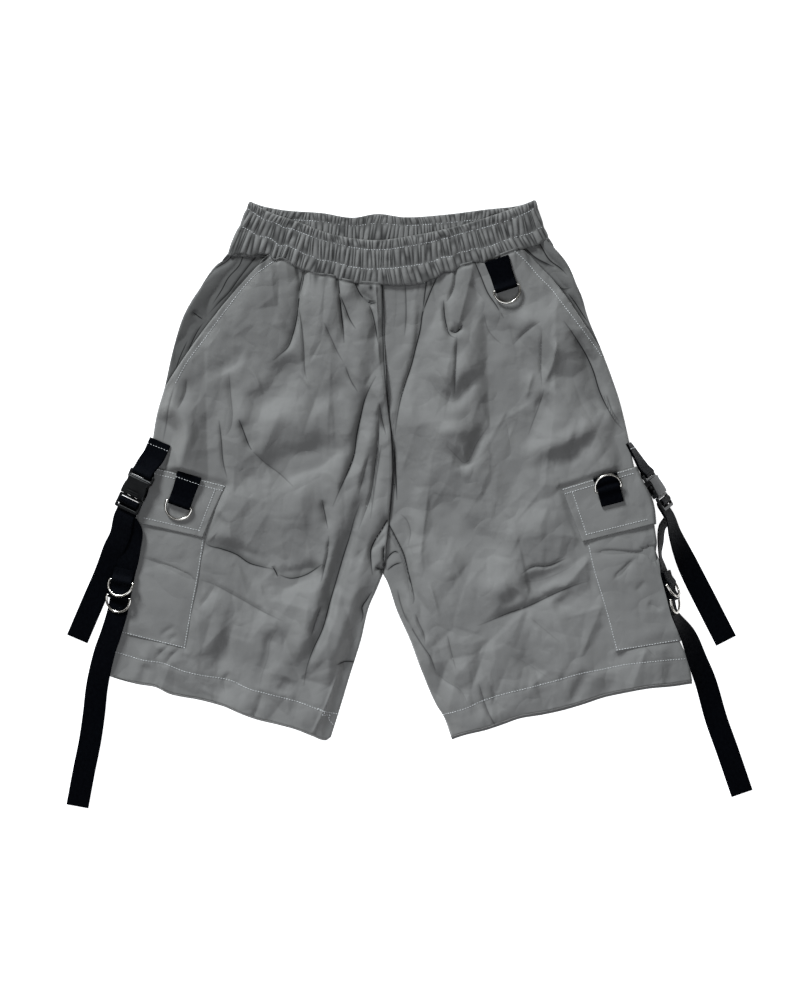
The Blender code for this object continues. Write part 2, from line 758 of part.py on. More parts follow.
def make_loop(name, frames, distances, bars, widths, bar_ply=None):
    """A band of webbing folded on itself, with bars through it.

    Its lower ply stays straight, unless bar_ply is given: both plies then part by that at a bar."""
    upper, lower = [], []
    for frame, distance in zip(frames, distances):
        parted = hump(distance, bars)
        if bar_ply:
            above = PLY + (bar_ply - PLY) * parted
            below = -above
        else:
            above = 2 * PLY - BAR_PLY + 2 * (BAR_PLY - PLY) * parted
            below = -BAR_PLY
        upper.append(frame @ Vector((0, 0, above)))
        lower.append(frame @ Vector((0, 0, below)))
    end = frames[-1].copy()
    end.translation = (upper[-1] + lower[-1]) / 2
    turn = half_turn(end, (upper[-1] - lower[-1]).length / 2)
    centres = upper + turn + lower[::-1]
    stations = list(range(len(frames)))
    stations += [stations[-1]] * len(turn) + stations[::-1]
    add_strip(name, centres, [across_of(frames[i]) for i in stations], np.asarray(widths)[stations])


def make_flat_loop(name, tree):
    """A loop that lies on the cloth. Returns the frame of its ring's bar."""
    loop = LOOPS[name]
    sewn = np.array([loop.sewn_x, loop.sewn_y])
    along = np.array([loop.end_x, loop.end_y]) - sewn
    length = np.linalg.norm(along)
    bar = length - loop.bar_above_end
    spots = [sewn + along * share for share in np.linspace(0, 1.2, 7)]
    z = max(height_over(tree, *spot, LOOP_WIDTH / 2) for spot in spots) + GAP + WEBBING / 2 + BAR_PLY
    distances = stops_along(length, [bar])
    frames = [frame_at(*(sewn + along * distance / length), z, along, 0) for distance in distances]
    narrowed = smoothstep(distances / (0.6 * bar))
    widths = LOOP_WIDTH + (LOOP_FOLD_WIDTH - LOOP_WIDTH) * narrowed
    make_loop(name, frames, distances, [bar], widths)
    return frame_at(*(sewn + along * bar / length), z, along, 0)


def make_ring(name, frame, tilt):
    """A D-ring: its bar lies on the frame's X axis, and its arc hangs towards -Y, tilted up about the bar."""
    half = (RING_INNER + WIRE) / 2
    left = [(-half, -RING_CORNER), (-half + RING_CORNER, 0)]
    right = [(half - RING_CORNER, 0), (half, -RING_CORNER)]
    arc = []
    for angle in np.linspace(0, math.pi, ARC_STEPS):
        arc.append((half * math.cos(angle), -RING_LEG - (RING_DEPTH - RING_LEG) * math.sin(angle)))
    line = [Vector((x, y, 0)) for x, y in left + [(0, 0)] + right + arc]
    points, faces = [], []
    for i, centre in enumerate(line):
        tangent = (line[(i + 1) % len(line)] - line[i - 1]).normalized()
        outward = Vector((tangent.y, -tangent.x, 0))
        for side in range(WIRE_SIDES):
            angle = math.tau * (side + 0.5) / WIRE_SIDES
            spoke = outward * math.cos(angle) + Vector((0, 0, math.sin(angle)))
            points.append(centre + spoke * WIRE / 2)
            a, b = i * WIRE_SIDES + side, i * WIRE_SIDES + (side + 1) % WIRE_SIDES
            c, d = (corner + WIRE_SIDES for corner in (a, b))
            faces.append([corner % (len(line) * WIRE_SIDES) for corner in (a, c, d, b)])
    tilted = frame @ Matrix.Rotation(-math.radians(tilt), 4, "X")
    ring = add_object(name, points, faces, NICKEL, tilted)
    ring.data.shade_smooth()


# Buckles


def add_plate(name, outline, low, high, frame):
    """A plate of this outline, from low to high along its Z, placed by its frame."""
    count = len(outline)
    points = [(x, y, low) for x, y in outline] + [(x, y, high) for x, y in outline]
    faces = [tuple(range(count))[::-1], tuple(range(count, 2 * count))]
    faces += [(i, (i + 1) % count, (i + 1) % count + count, i + count) for i in range(count)]
    return add_object(name, points, faces, BUCKLE_BLACK, frame)


def both_sides(right_half):
    """A closed outline from its right half, listed from top to bottom."""
    return right_half + [(-x, y) for x, y in reversed(right_half)]


def cut_box(target, name, low, high, frame):
    corners = [(low[0], low[1]), (high[0], low[1]), (high[0], high[1]), (low[0], high[1])]
    cutter = add_plate(name, corners, low[2], high[2], frame)
    cutter.hide_render = True
    cutter.display_type = "WIRE"
    cut = target.modifiers.new(name, "BOOLEAN")
    cut.operation = "DIFFERENCE"
    cut.object = cutter



def make_socket(side, frame):
    """The half with the catch windows, hung on the tab by its top bar."""
    beyond = BUCKLE_WIDTH / 2 + 1
    over = SOCKET_HALF + 1
    name = f"buckle_socket_{side}"
    socket = add_plate(name, both_sides(SOCKET_OUTLINE), -SOCKET_HALF, SOCKET_HALF, frame)
    slot, low, top = SLOT_HALF + 0.4, SOCKET_TOP_SLOT[0], SOCKET_TOP_SLOT[1]
    cut_box(socket, f"{name}_slot", (-slot, low, -over), (slot, top, over), frame)
    cut_box(socket, f"{name}_face_step", (-beyond, low - 0.5, BAR_HALF), (beyond, 1, over), frame)
    cut_box(socket, f"{name}_back_step", (-beyond, low - 0.5, -over), (beyond, 1, -BAR_HALF), frame)
    cavity, inside = CAVITY_HALF
    cut_box(socket, f"{name}_cavity", (-cavity, SOCKET_END - 1, -inside), (cavity, CAVITY_TOP, inside), frame)
    low, top = WINDOW
    for label, start, stop in (("right", cavity - 2.8, beyond), ("left", -beyond, 2.8 - cavity)):
        window = WINDOW_HALF
        cut_box(socket, f"{name}_window_{label}", (start, low, -window), (stop, top, window), frame)


def make_plug(side, frame):
    """The half with the catch arms, and the ladder that the strap is threaded through."""
    name = f"buckle_plug_{side}"
    plug = add_plate(name, both_sides(PLUG_OUTLINE), -PLUG_HALF, PLUG_HALF, frame)
    over = PLUG_HALF + 1
    for label, (low, top) in LADDER_SLOTS.items():
        cut_box(plug, f"{name}_{label}", (-SLOT_HALF, low, -over), (SLOT_HALF, top, over), frame)


def run_of(frame, y, z, roll):
    """A run's row at a place in a buckle's or a ring's frame."""
    return Run(*(frame @ Vector((0, y, z))), roll)


def make_strap_set(side):
    """Tab, buckle, strap, and the double rings on their own loop on the strap's face."""
    top, direction = BUCKLES[side]
    buckle = frame_at(top.x, top.y, top.z, direction, top.roll)
    make_socket(side, buckle)
    make_plug(side, buckle)

    tab = TABS[side] + [run_of(buckle, y, 0, top.roll) for y in (8, TAB_BAR)]
    frames, distances = run_frames(tab, TAB_STOPS)
    widths = [STRAP_WIDTH] * len(frames)
    make_loop(f"side_tab_{side}", frames, distances, [distances[-1]], widths, TAB_PLY)

    bar, ring_direction = RING_BARS[side]
    lower_bar = frame_at(bar.x, bar.y, bar.z, ring_direction, bar.roll)
    spacing = math.hypot(*ring_direction)
    upper_bar = lower_bar @ Matrix.Translation((0, spacing, 0))
    make_ring(f"strap_ring_upper_{side}", upper_bar, UPPER_RING_TILT)
    make_ring(f"strap_ring_lower_{side}", lower_bar, LOWER_RING_TILT)
    length = spacing + RING_LOOP_ABOVE
    distances = stops_along(length, [RING_LOOP_ABOVE, length])
    frames = [lower_bar @ Matrix.Translation((0, length - distance, 0)) for distance in distances]
    widths = [STRAP_WIDTH] * len(frames)
    make_loop(f"ring_loop_{side}", frames, distances, [RING_LOOP_ABOVE, length], widths)

    behind = -BAR_PLY - WEBBING - 2 * GAP
    tail = [run_of(buckle, y, LADDER_WAY[-1][1], top.roll) for y in LEAVING] + TAILS[side]
    down = [run_of(buckle, y, LADDER_WAY[0][1], top.roll) for y in LEAVING] + STANDING_RUNS[side]
    down += [run_of(lower_bar, y, behind, bar.roll) for y in (spacing + 12, spacing, 0, -RING_DEPTH)]
    down += LOWER_RUNS[side]
    ladder = [buckle @ Matrix.Translation((0, y, z)) for y, z in reversed(LADDER_WAY)]
    frames = run_frames(tail, TAIL_STOPS)[0][::-1] + ladder + run_frames(down, DOWN_STOPS)[0]
    centres = [frame.translation for frame in frames]
    add_strip(f"strap_{side}", centres, [across_of(frame) for frame in frames], [STRAP_WIDTH] * len(frames))


def make_shorts():
    clear_scene()
    make_band("waistband_back", BAND_BACK, BAND_BACK_Z, BAND_COLUMNS[0], 0)
    make_band("waistband_front", BAND_FRONT, BAND_FRONT_Z, BAND_COLUMNS[1], BAND_BULGE)
    back_hem_right = [(x, y - BACK_HEM_PEEK) for x, y in HEM_RIGHT]
    backs = [
        make_back("left", BACK_TOP_LEFT, FRONT_LEFT, HEM_LEFT, -1),
        make_back("right", BACK_TOP_RIGHT, FRONT_RIGHT, back_hem_right, 1),
    ]
    under = tree_of(*backs)
    facings = [
        make_facing("left", FACING_LEFT, under),
        make_facing("right", FACING_RIGHT, under),
    ]
    under = tree_of(*backs, *facings)
    front_left, sheet_left = make_front("left", FRONT_LEFT, HEM_LEFT, -1, under)
    front_right, sheet_right = make_front("right", FRONT_RIGHT, HEM_RIGHT, 1, under)
    fronts = [front_left, front_right]

    bag_z = 1.5 * CLOTH + GAP
    flap_z = CLOTH / 2
    covers = []
    for side, sheet in (("left", sheet_left), ("right", sheet_right)):
        under = tree_of(*fronts)
        bag = make_wrapped(f"cargo_bag_{side}", BAGS[side], sheet, under, bag_z, BAG_GRID, BAG_REACH)
        under = tree_of(*fronts, bag)
        flap = make_wrapped(f"cargo_flap_{side}", FLAPS[side], sheet, under, flap_z, FLAP_GRID, FLAP_REACH)
        covers.append(flap)

    surface = tree_of(*fronts, *covers)
    make_ring("waist_ring", make_flat_loop("waist_loop", surface), HANGING_TILT)
    make_ring("flap_ring_left", make_flat_loop("flap_loop_left", surface), HANGING_TILT)
    make_ring("flap_ring_right", make_flat_loop("flap_loop_right", surface), FLIPPED_TILT)

    for side in ("left", "right"):
        make_strap_set(side)


make_shorts()
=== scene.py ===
"""Cargo shorts laid out flat: cloth, gathered waistband, pockets, webbing, buckles, D-rings and stitching.

Lengths in the tables are millimetres, in the frame of the model: +X right, +Y to the waist, +Z up. Left and
right are those of someone who looks down on the front."""

import math
from collections import namedtuple
from functools import cache, partial

import bpy
import numpy as np
from bpy.props import FloatProperty, FloatVectorProperty, IntProperty, PointerProperty
from mathutils import Matrix, Vector
from mathutils.bvhtree import BVHTree


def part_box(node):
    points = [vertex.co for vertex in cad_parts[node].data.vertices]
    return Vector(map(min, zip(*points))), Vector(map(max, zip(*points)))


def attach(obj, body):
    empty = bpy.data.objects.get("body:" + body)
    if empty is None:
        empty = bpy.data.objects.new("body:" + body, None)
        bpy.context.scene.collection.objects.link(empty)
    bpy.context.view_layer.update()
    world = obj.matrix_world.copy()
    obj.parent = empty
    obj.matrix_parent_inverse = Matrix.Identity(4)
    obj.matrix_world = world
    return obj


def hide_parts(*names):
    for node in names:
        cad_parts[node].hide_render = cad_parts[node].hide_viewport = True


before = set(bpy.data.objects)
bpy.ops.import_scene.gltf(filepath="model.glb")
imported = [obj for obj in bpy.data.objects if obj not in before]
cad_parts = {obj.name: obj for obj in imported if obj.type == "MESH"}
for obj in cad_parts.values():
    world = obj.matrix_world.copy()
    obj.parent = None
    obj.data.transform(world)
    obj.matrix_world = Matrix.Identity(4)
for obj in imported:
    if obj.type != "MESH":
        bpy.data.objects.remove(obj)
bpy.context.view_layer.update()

bl_info = {
    "name": "Laid-out cargo shorts",
    "version": (1, 0, 0),
    "blender": (4, 5, 0),
    "location": "View3D > Sidebar > Shorts",
    "description": "Builds a pair of cargo shorts, laid out flat, round its CAD model",
    "category": "Object",
}

MM = 0.001
SIDES = ("left", "right")
OUTWARD = {"left": -1, "right": 1}

# ---------------------------------------------------------------- cut lines of the cloth

# Front panels. The inner line is the centre seam and then the inseam, the outer line is the pocket mouth and
# then the side seam, and the waist and hem lines run from the inner line to the outer one.
CENTRE_SEAM = [
    (-30.8, 245.3), (-28, 152.3), (-24.1, 112), (-20.7, 84), (-18.5, 39.2), (-21.8, -6.7), (-26.3, -48.2),
    (-29.7, -77.3),
]
FRONT_INSEAM = {
    "left": [
        (-29.7, -77.3), (-37.5, -96.3), (-45.4, -114.2), (-54.3, -151.2), (-66.6, -190.4), (-78.4, -229.6),
        (-87.9, -258.7),
    ],
    "right": [
        (-29.7, -77.3), (-26.3, -82.9), (-14, -118.7), (0.6, -151.2), (11.8, -181.4), (30.8, -225.1),
        (37.5, -235.2), (47.6, -259.8),
    ],
}
FRONT_MOUTH = {
    "left": [(-157.4, 276.6), (-178.6, 260.4), (-217.8, 212.2), (-253.7, 163), (-273.8, 132.2)],
    "right": [(124.4, 287.6), (150.2, 261), (169.7, 240.8), (192.1, 208.3), (213.4, 177)],
}
FRONT_SIDE = {
    "left": [
        (-273.8, 132.2), (-282.8, 100.8), (-288, 67.2), (-294, 30.2), (-299.6, -5.6), (-306.3, -44.8),
        (-313, -78.4), (-319.8, -112), (-327.6, -145.6), (-334.3, -173.6), (-336.6, -190.4),
    ],
    "right": [
        (213.4, 177), (222.3, 153.4), (234.6, 118.7), (245.8, 70.6), (252.6, 38.1), (268.2, 2.2),
        (271.6, -28), (278.3, -65), (288.4, -103), (294, -125), (300.7, -148.6), (311.9, -173.6),
        (316.4, -197.1),
    ],
}
FRONT_HEM = {
    "left": [
        (-87.9, -258.7), (-93.5, -262.6), (-109.2, -257.6), (-126, -250.9), (-148.4, -244.7),
        (-169.7, -239.7), (-188.7, -233), (-206.6, -225.1), (-223.4, -220.1), (-240.2, -216.2),
        (-255.9, -213.6), (-269.8, -210.1), (-283.9, -203.1), (-303, -199.9), (-323.1, -194.9),
        (-336.6, -190.4),
    ],
    "right": [
        (47.6, -259.8), (60.6, -255.4), (86.4, -249.1), (104.7, -243), (123.8, -236.3), (147.3, -232.4),
        (170.8, -227.4), (194.3, -220.6), (217.8, -212.8), (243.6, -207.2), (269.4, -202.7), (294, -200.5),
        (316.4, -197.1),
    ],
}
WAIST_SEAM = [
    (-203.8, 278.3), (-189.8, 282.2), (-177.5, 278.3), (-169.7, 280.6), (-160.3, 280.4), (-150.1, 271.8),
    (-144.6, 274.2), (-127.1, 266.3), (-117, 263.2), (-104.7, 257.3), (-89, 255.4), (-70.3, 249.8),
    (-53.2, 247.7), (-29.7, 246.6), (-14, 245.8), (11.8, 247.7), (23, 252.1), (30.8, 254.5), (38.1, 260),
    (48.7, 261.2), (58.6, 267), (68.9, 269.4), (72.7, 271.7), (82.3, 271.7), (107.3, 280.4), (126, 286.7),
    (136.4, 288.1), (155.1, 296.8),
]

# Outline of the garment beside the pocket mouths, from the waistband down to the side seam.
HIP_SIDE = {
    "left": [
        (-203.3, 276.6), (-215.6, 269.4), (-236.9, 239), (-252.6, 212.2), (-263.8, 177), (-273.8, 132.2),
    ],
    "right": [(155.1, 295.7), (176.4, 271), (187.6, 245.3), (201, 206.1), (213.4, 177)],
}
BACK_WAIST = {
    "left": [(-36.4, 272.2), (-77.8, 273.3), (-122.6, 274.4), (-165.2, 275.5), (-203.3, 276.6)],
    "right": [(-36.4, 272.2), (6.2, 273.3), (45.4, 276.6), (112.6, 284.5), (155.1, 295.7)],
}
BACK_RISE = [(-36.4, 272.2), (-33, 196), (-28.6, 117.6), (-26.3, 39.2), (-26.3, -48.2), (-29.7, -77.3)]
HEM_PEEK = {"left": 1.0, "right": 2.8}  # how far the back hem shows below the front one

# Cut sizes of what shows, in metres: width and length, and area in square metres.
FRONT_CUT = {"left": ((0.31, 0.57), 0.122), "right": ((0.34, 0.57), 0.129)}
BACK_CUT = {"left": ((0.32, 0.6), 0.127), "right": ((0.35, 0.6), 0.139)}
FACING_CUT = {"left": ((0.06, 0.19), 0.0069), "right": ((0.045, 0.16), 0.0039)}
WAISTBAND_CUT = (0.95, 0.05)
BAG_CUT = (0.16, 0.15)
FLAP_CUT = (0.17, 0.068)

# Slant-pocket facings: the inner line is tucked under the front.
FACING_INNER = {
    "left": [(-147.3, 271), (-178.6, 240.8), (-212.2, 196), (-243.6, 155.7), (-259.3, 133.3)],
    "right": [(114.8, 281.1), (140.6, 253.1), (166.3, 224), (187.6, 194.9), (206.6, 166.9)],
}
FACING_TOP = {
    "left": [(-147.3, 271), (-158.5, 277.8), (-178.6, 277.8), (-203.3, 276.6)],
    "right": [(114.8, 281.1), (126, 285.6), (140.6, 290.1), (155.1, 295.7)],
}

# Waistband, from the left end to the right: top edge, seam, and its two stitch lines as shares of its width.
BAND_FRONT = [
    (-179.1, 338.7, -203.8, 278.3, 0.14, 0.46),
    (-155.1, 327, -169.7, 280.6, 0.2, 0.58),
    (-128.2, 318.1, -141.7, 272.2, 0.22, 0.63),
    (-84, 302.4, -89, 255.4, 0.2, 0.64),
    (-36.4, 296.2, -36.4, 247, 0.225, 0.655),
    (1.7, 301.3, 5, 247, 0.21, 0.61),
    (37.5, 308, 44.2, 261, 0.22, 0.65),
    (73.4, 317.5, 82.3, 271.9, 0.21, 0.67),
    (107, 328.7, 118.2, 284.5, 0.24, 0.68),
    (141.1, 340.5, 155.1, 296.8, 0.19, 0.68),
]
BAND_BACK = [
    (-179.1, 338.7, -203.8, 278.3, 0.14, 0.46),
    (-161.1, 333.8, -176.4, 277.2, 0.17, 0.52),
    (-139.4, 330, -154, 276.1, 0.18, 0.56),
    (-96.9, 326.8, -102.5, 275, 0.19, 0.6),
    (-63.3, 321.7, -64.4, 272.2, 0.19, 0.62),
    (-35.8, 326, -36.4, 272.2, 0.2, 0.62),
    (-6.2, 322.3, -5, 272.2, 0.19, 0.62),
    (36.4, 324.8, 40.9, 274.4, 0.19, 0.62),
    (87.6, 331.1, 96.9, 281.1, 0.2, 0.64),
    (122.6, 335.2, 137.2, 289, 0.2, 0.66),
    (141.1, 340.5, 155.1, 296.8, 0.19, 0.68),
]
BAND_FRONT_Z = 5.5
BAND_BACK_Z = 1.9
BAND_SEAM_DROP = 0.7  # the front's seam edge is drawn down to the panels
BAND_PITCHES = (1.0, 1.12, 1.2)  # of the gathers in its three channels, as shares of the setting
# The most that the band's outer side, and then its inner side, stands off its middle, at the front and at the
# back: there is little room between the two halves, and the back lies on the floor.
BAND_MOST = ((3.6, 1.8), (1.0, 2.5))

# A piece of a cargo pocket: its inner edge on the front, the levels where its top and bottom edges meet the
# side seam, the height of the part that is wrapped under, and how it is sewn: how far its stitches are from
# the inner edge, how deep they draw it in, and the lap, if any, over which it rises from the cloth under it.
Pocket = namedtuple("Pocket", "kind inner top_level low_level wrap_z inset depth lap")
BAG_SEWN = (1.6, 0.2, 14)
FLAP_SEWN = (7.0, 0.35, 0)
BAGS = {
    "left": Pocket("cargo_bag", [
        (-225.7, -19), (-229, -39.2), (-235.2, -78.4), (-241.9, -114.2), (-249.8, -160.7),
    ], -2.2, -142.2, 2.1, *BAG_SEWN),
    "right": Pocket("cargo_bag", [
        (191, -23.5), (198.8, -45.9), (204.4, -70.6), (217.8, -115.4), (230.2, -163.5),
    ], -3.4, -152.3, 2.1, *BAG_SEWN),
}
FLAPS = {
    "left": Pocket(
        "cargo_flap", [(-205.5, 21.8), (-219, -7.8), (-230.7, -36.4)], 43.7, -20.2, 0.6, *FLAP_SEWN
    ),
    "right": Pocket(
        "cargo_flap", [(170.8, 18.5), (181.4, -11.2), (193.2, -41.1)], 42.6, -21.8, 0.6, *FLAP_SEWN
    ),
}

# ---------------------------------------------------------------- folds of the cloth

# A crease along a line: its depth, negative for a ridge, how far it reaches on the line's right and left
# hand, and how much shade is painted along it: 0 is none, and from about 0.9 on its line is painted fully
# dark. One that reaches over 5 mm both ways is soft. An open end doesn't taper.
Crease = namedtuple("Crease", "line depth right left pinch open")
TAPERED, FROM_EDGE, TO_EDGE = 0, 1, 2
START_TAPER, END_TAPER = 0.3, 0.35  # shares of a crease's length
SOFT_FROM = 5.0
SOFT_POWER, SHARP_POWER = 2.0, 1.15  # the powers of a soft and a sharp crease's profile
FOLD_RADIUS = 0.8  # at its bottom
LINE_REACH = 3.2  # how far from a fold its line is known
FAR = 9.0  # a distance at which no fold's line is drawn


def creases(*rows):
    """Creases from rows of depth, right, left and painted shade, then the line's points, and the open end if
    any.
    """
    rows = [(*row, TAPERED) if isinstance(row[-1], tuple) else row for row in rows]
    return [Crease(row[4:-1], *row[:4], row[-1]) for row in rows]


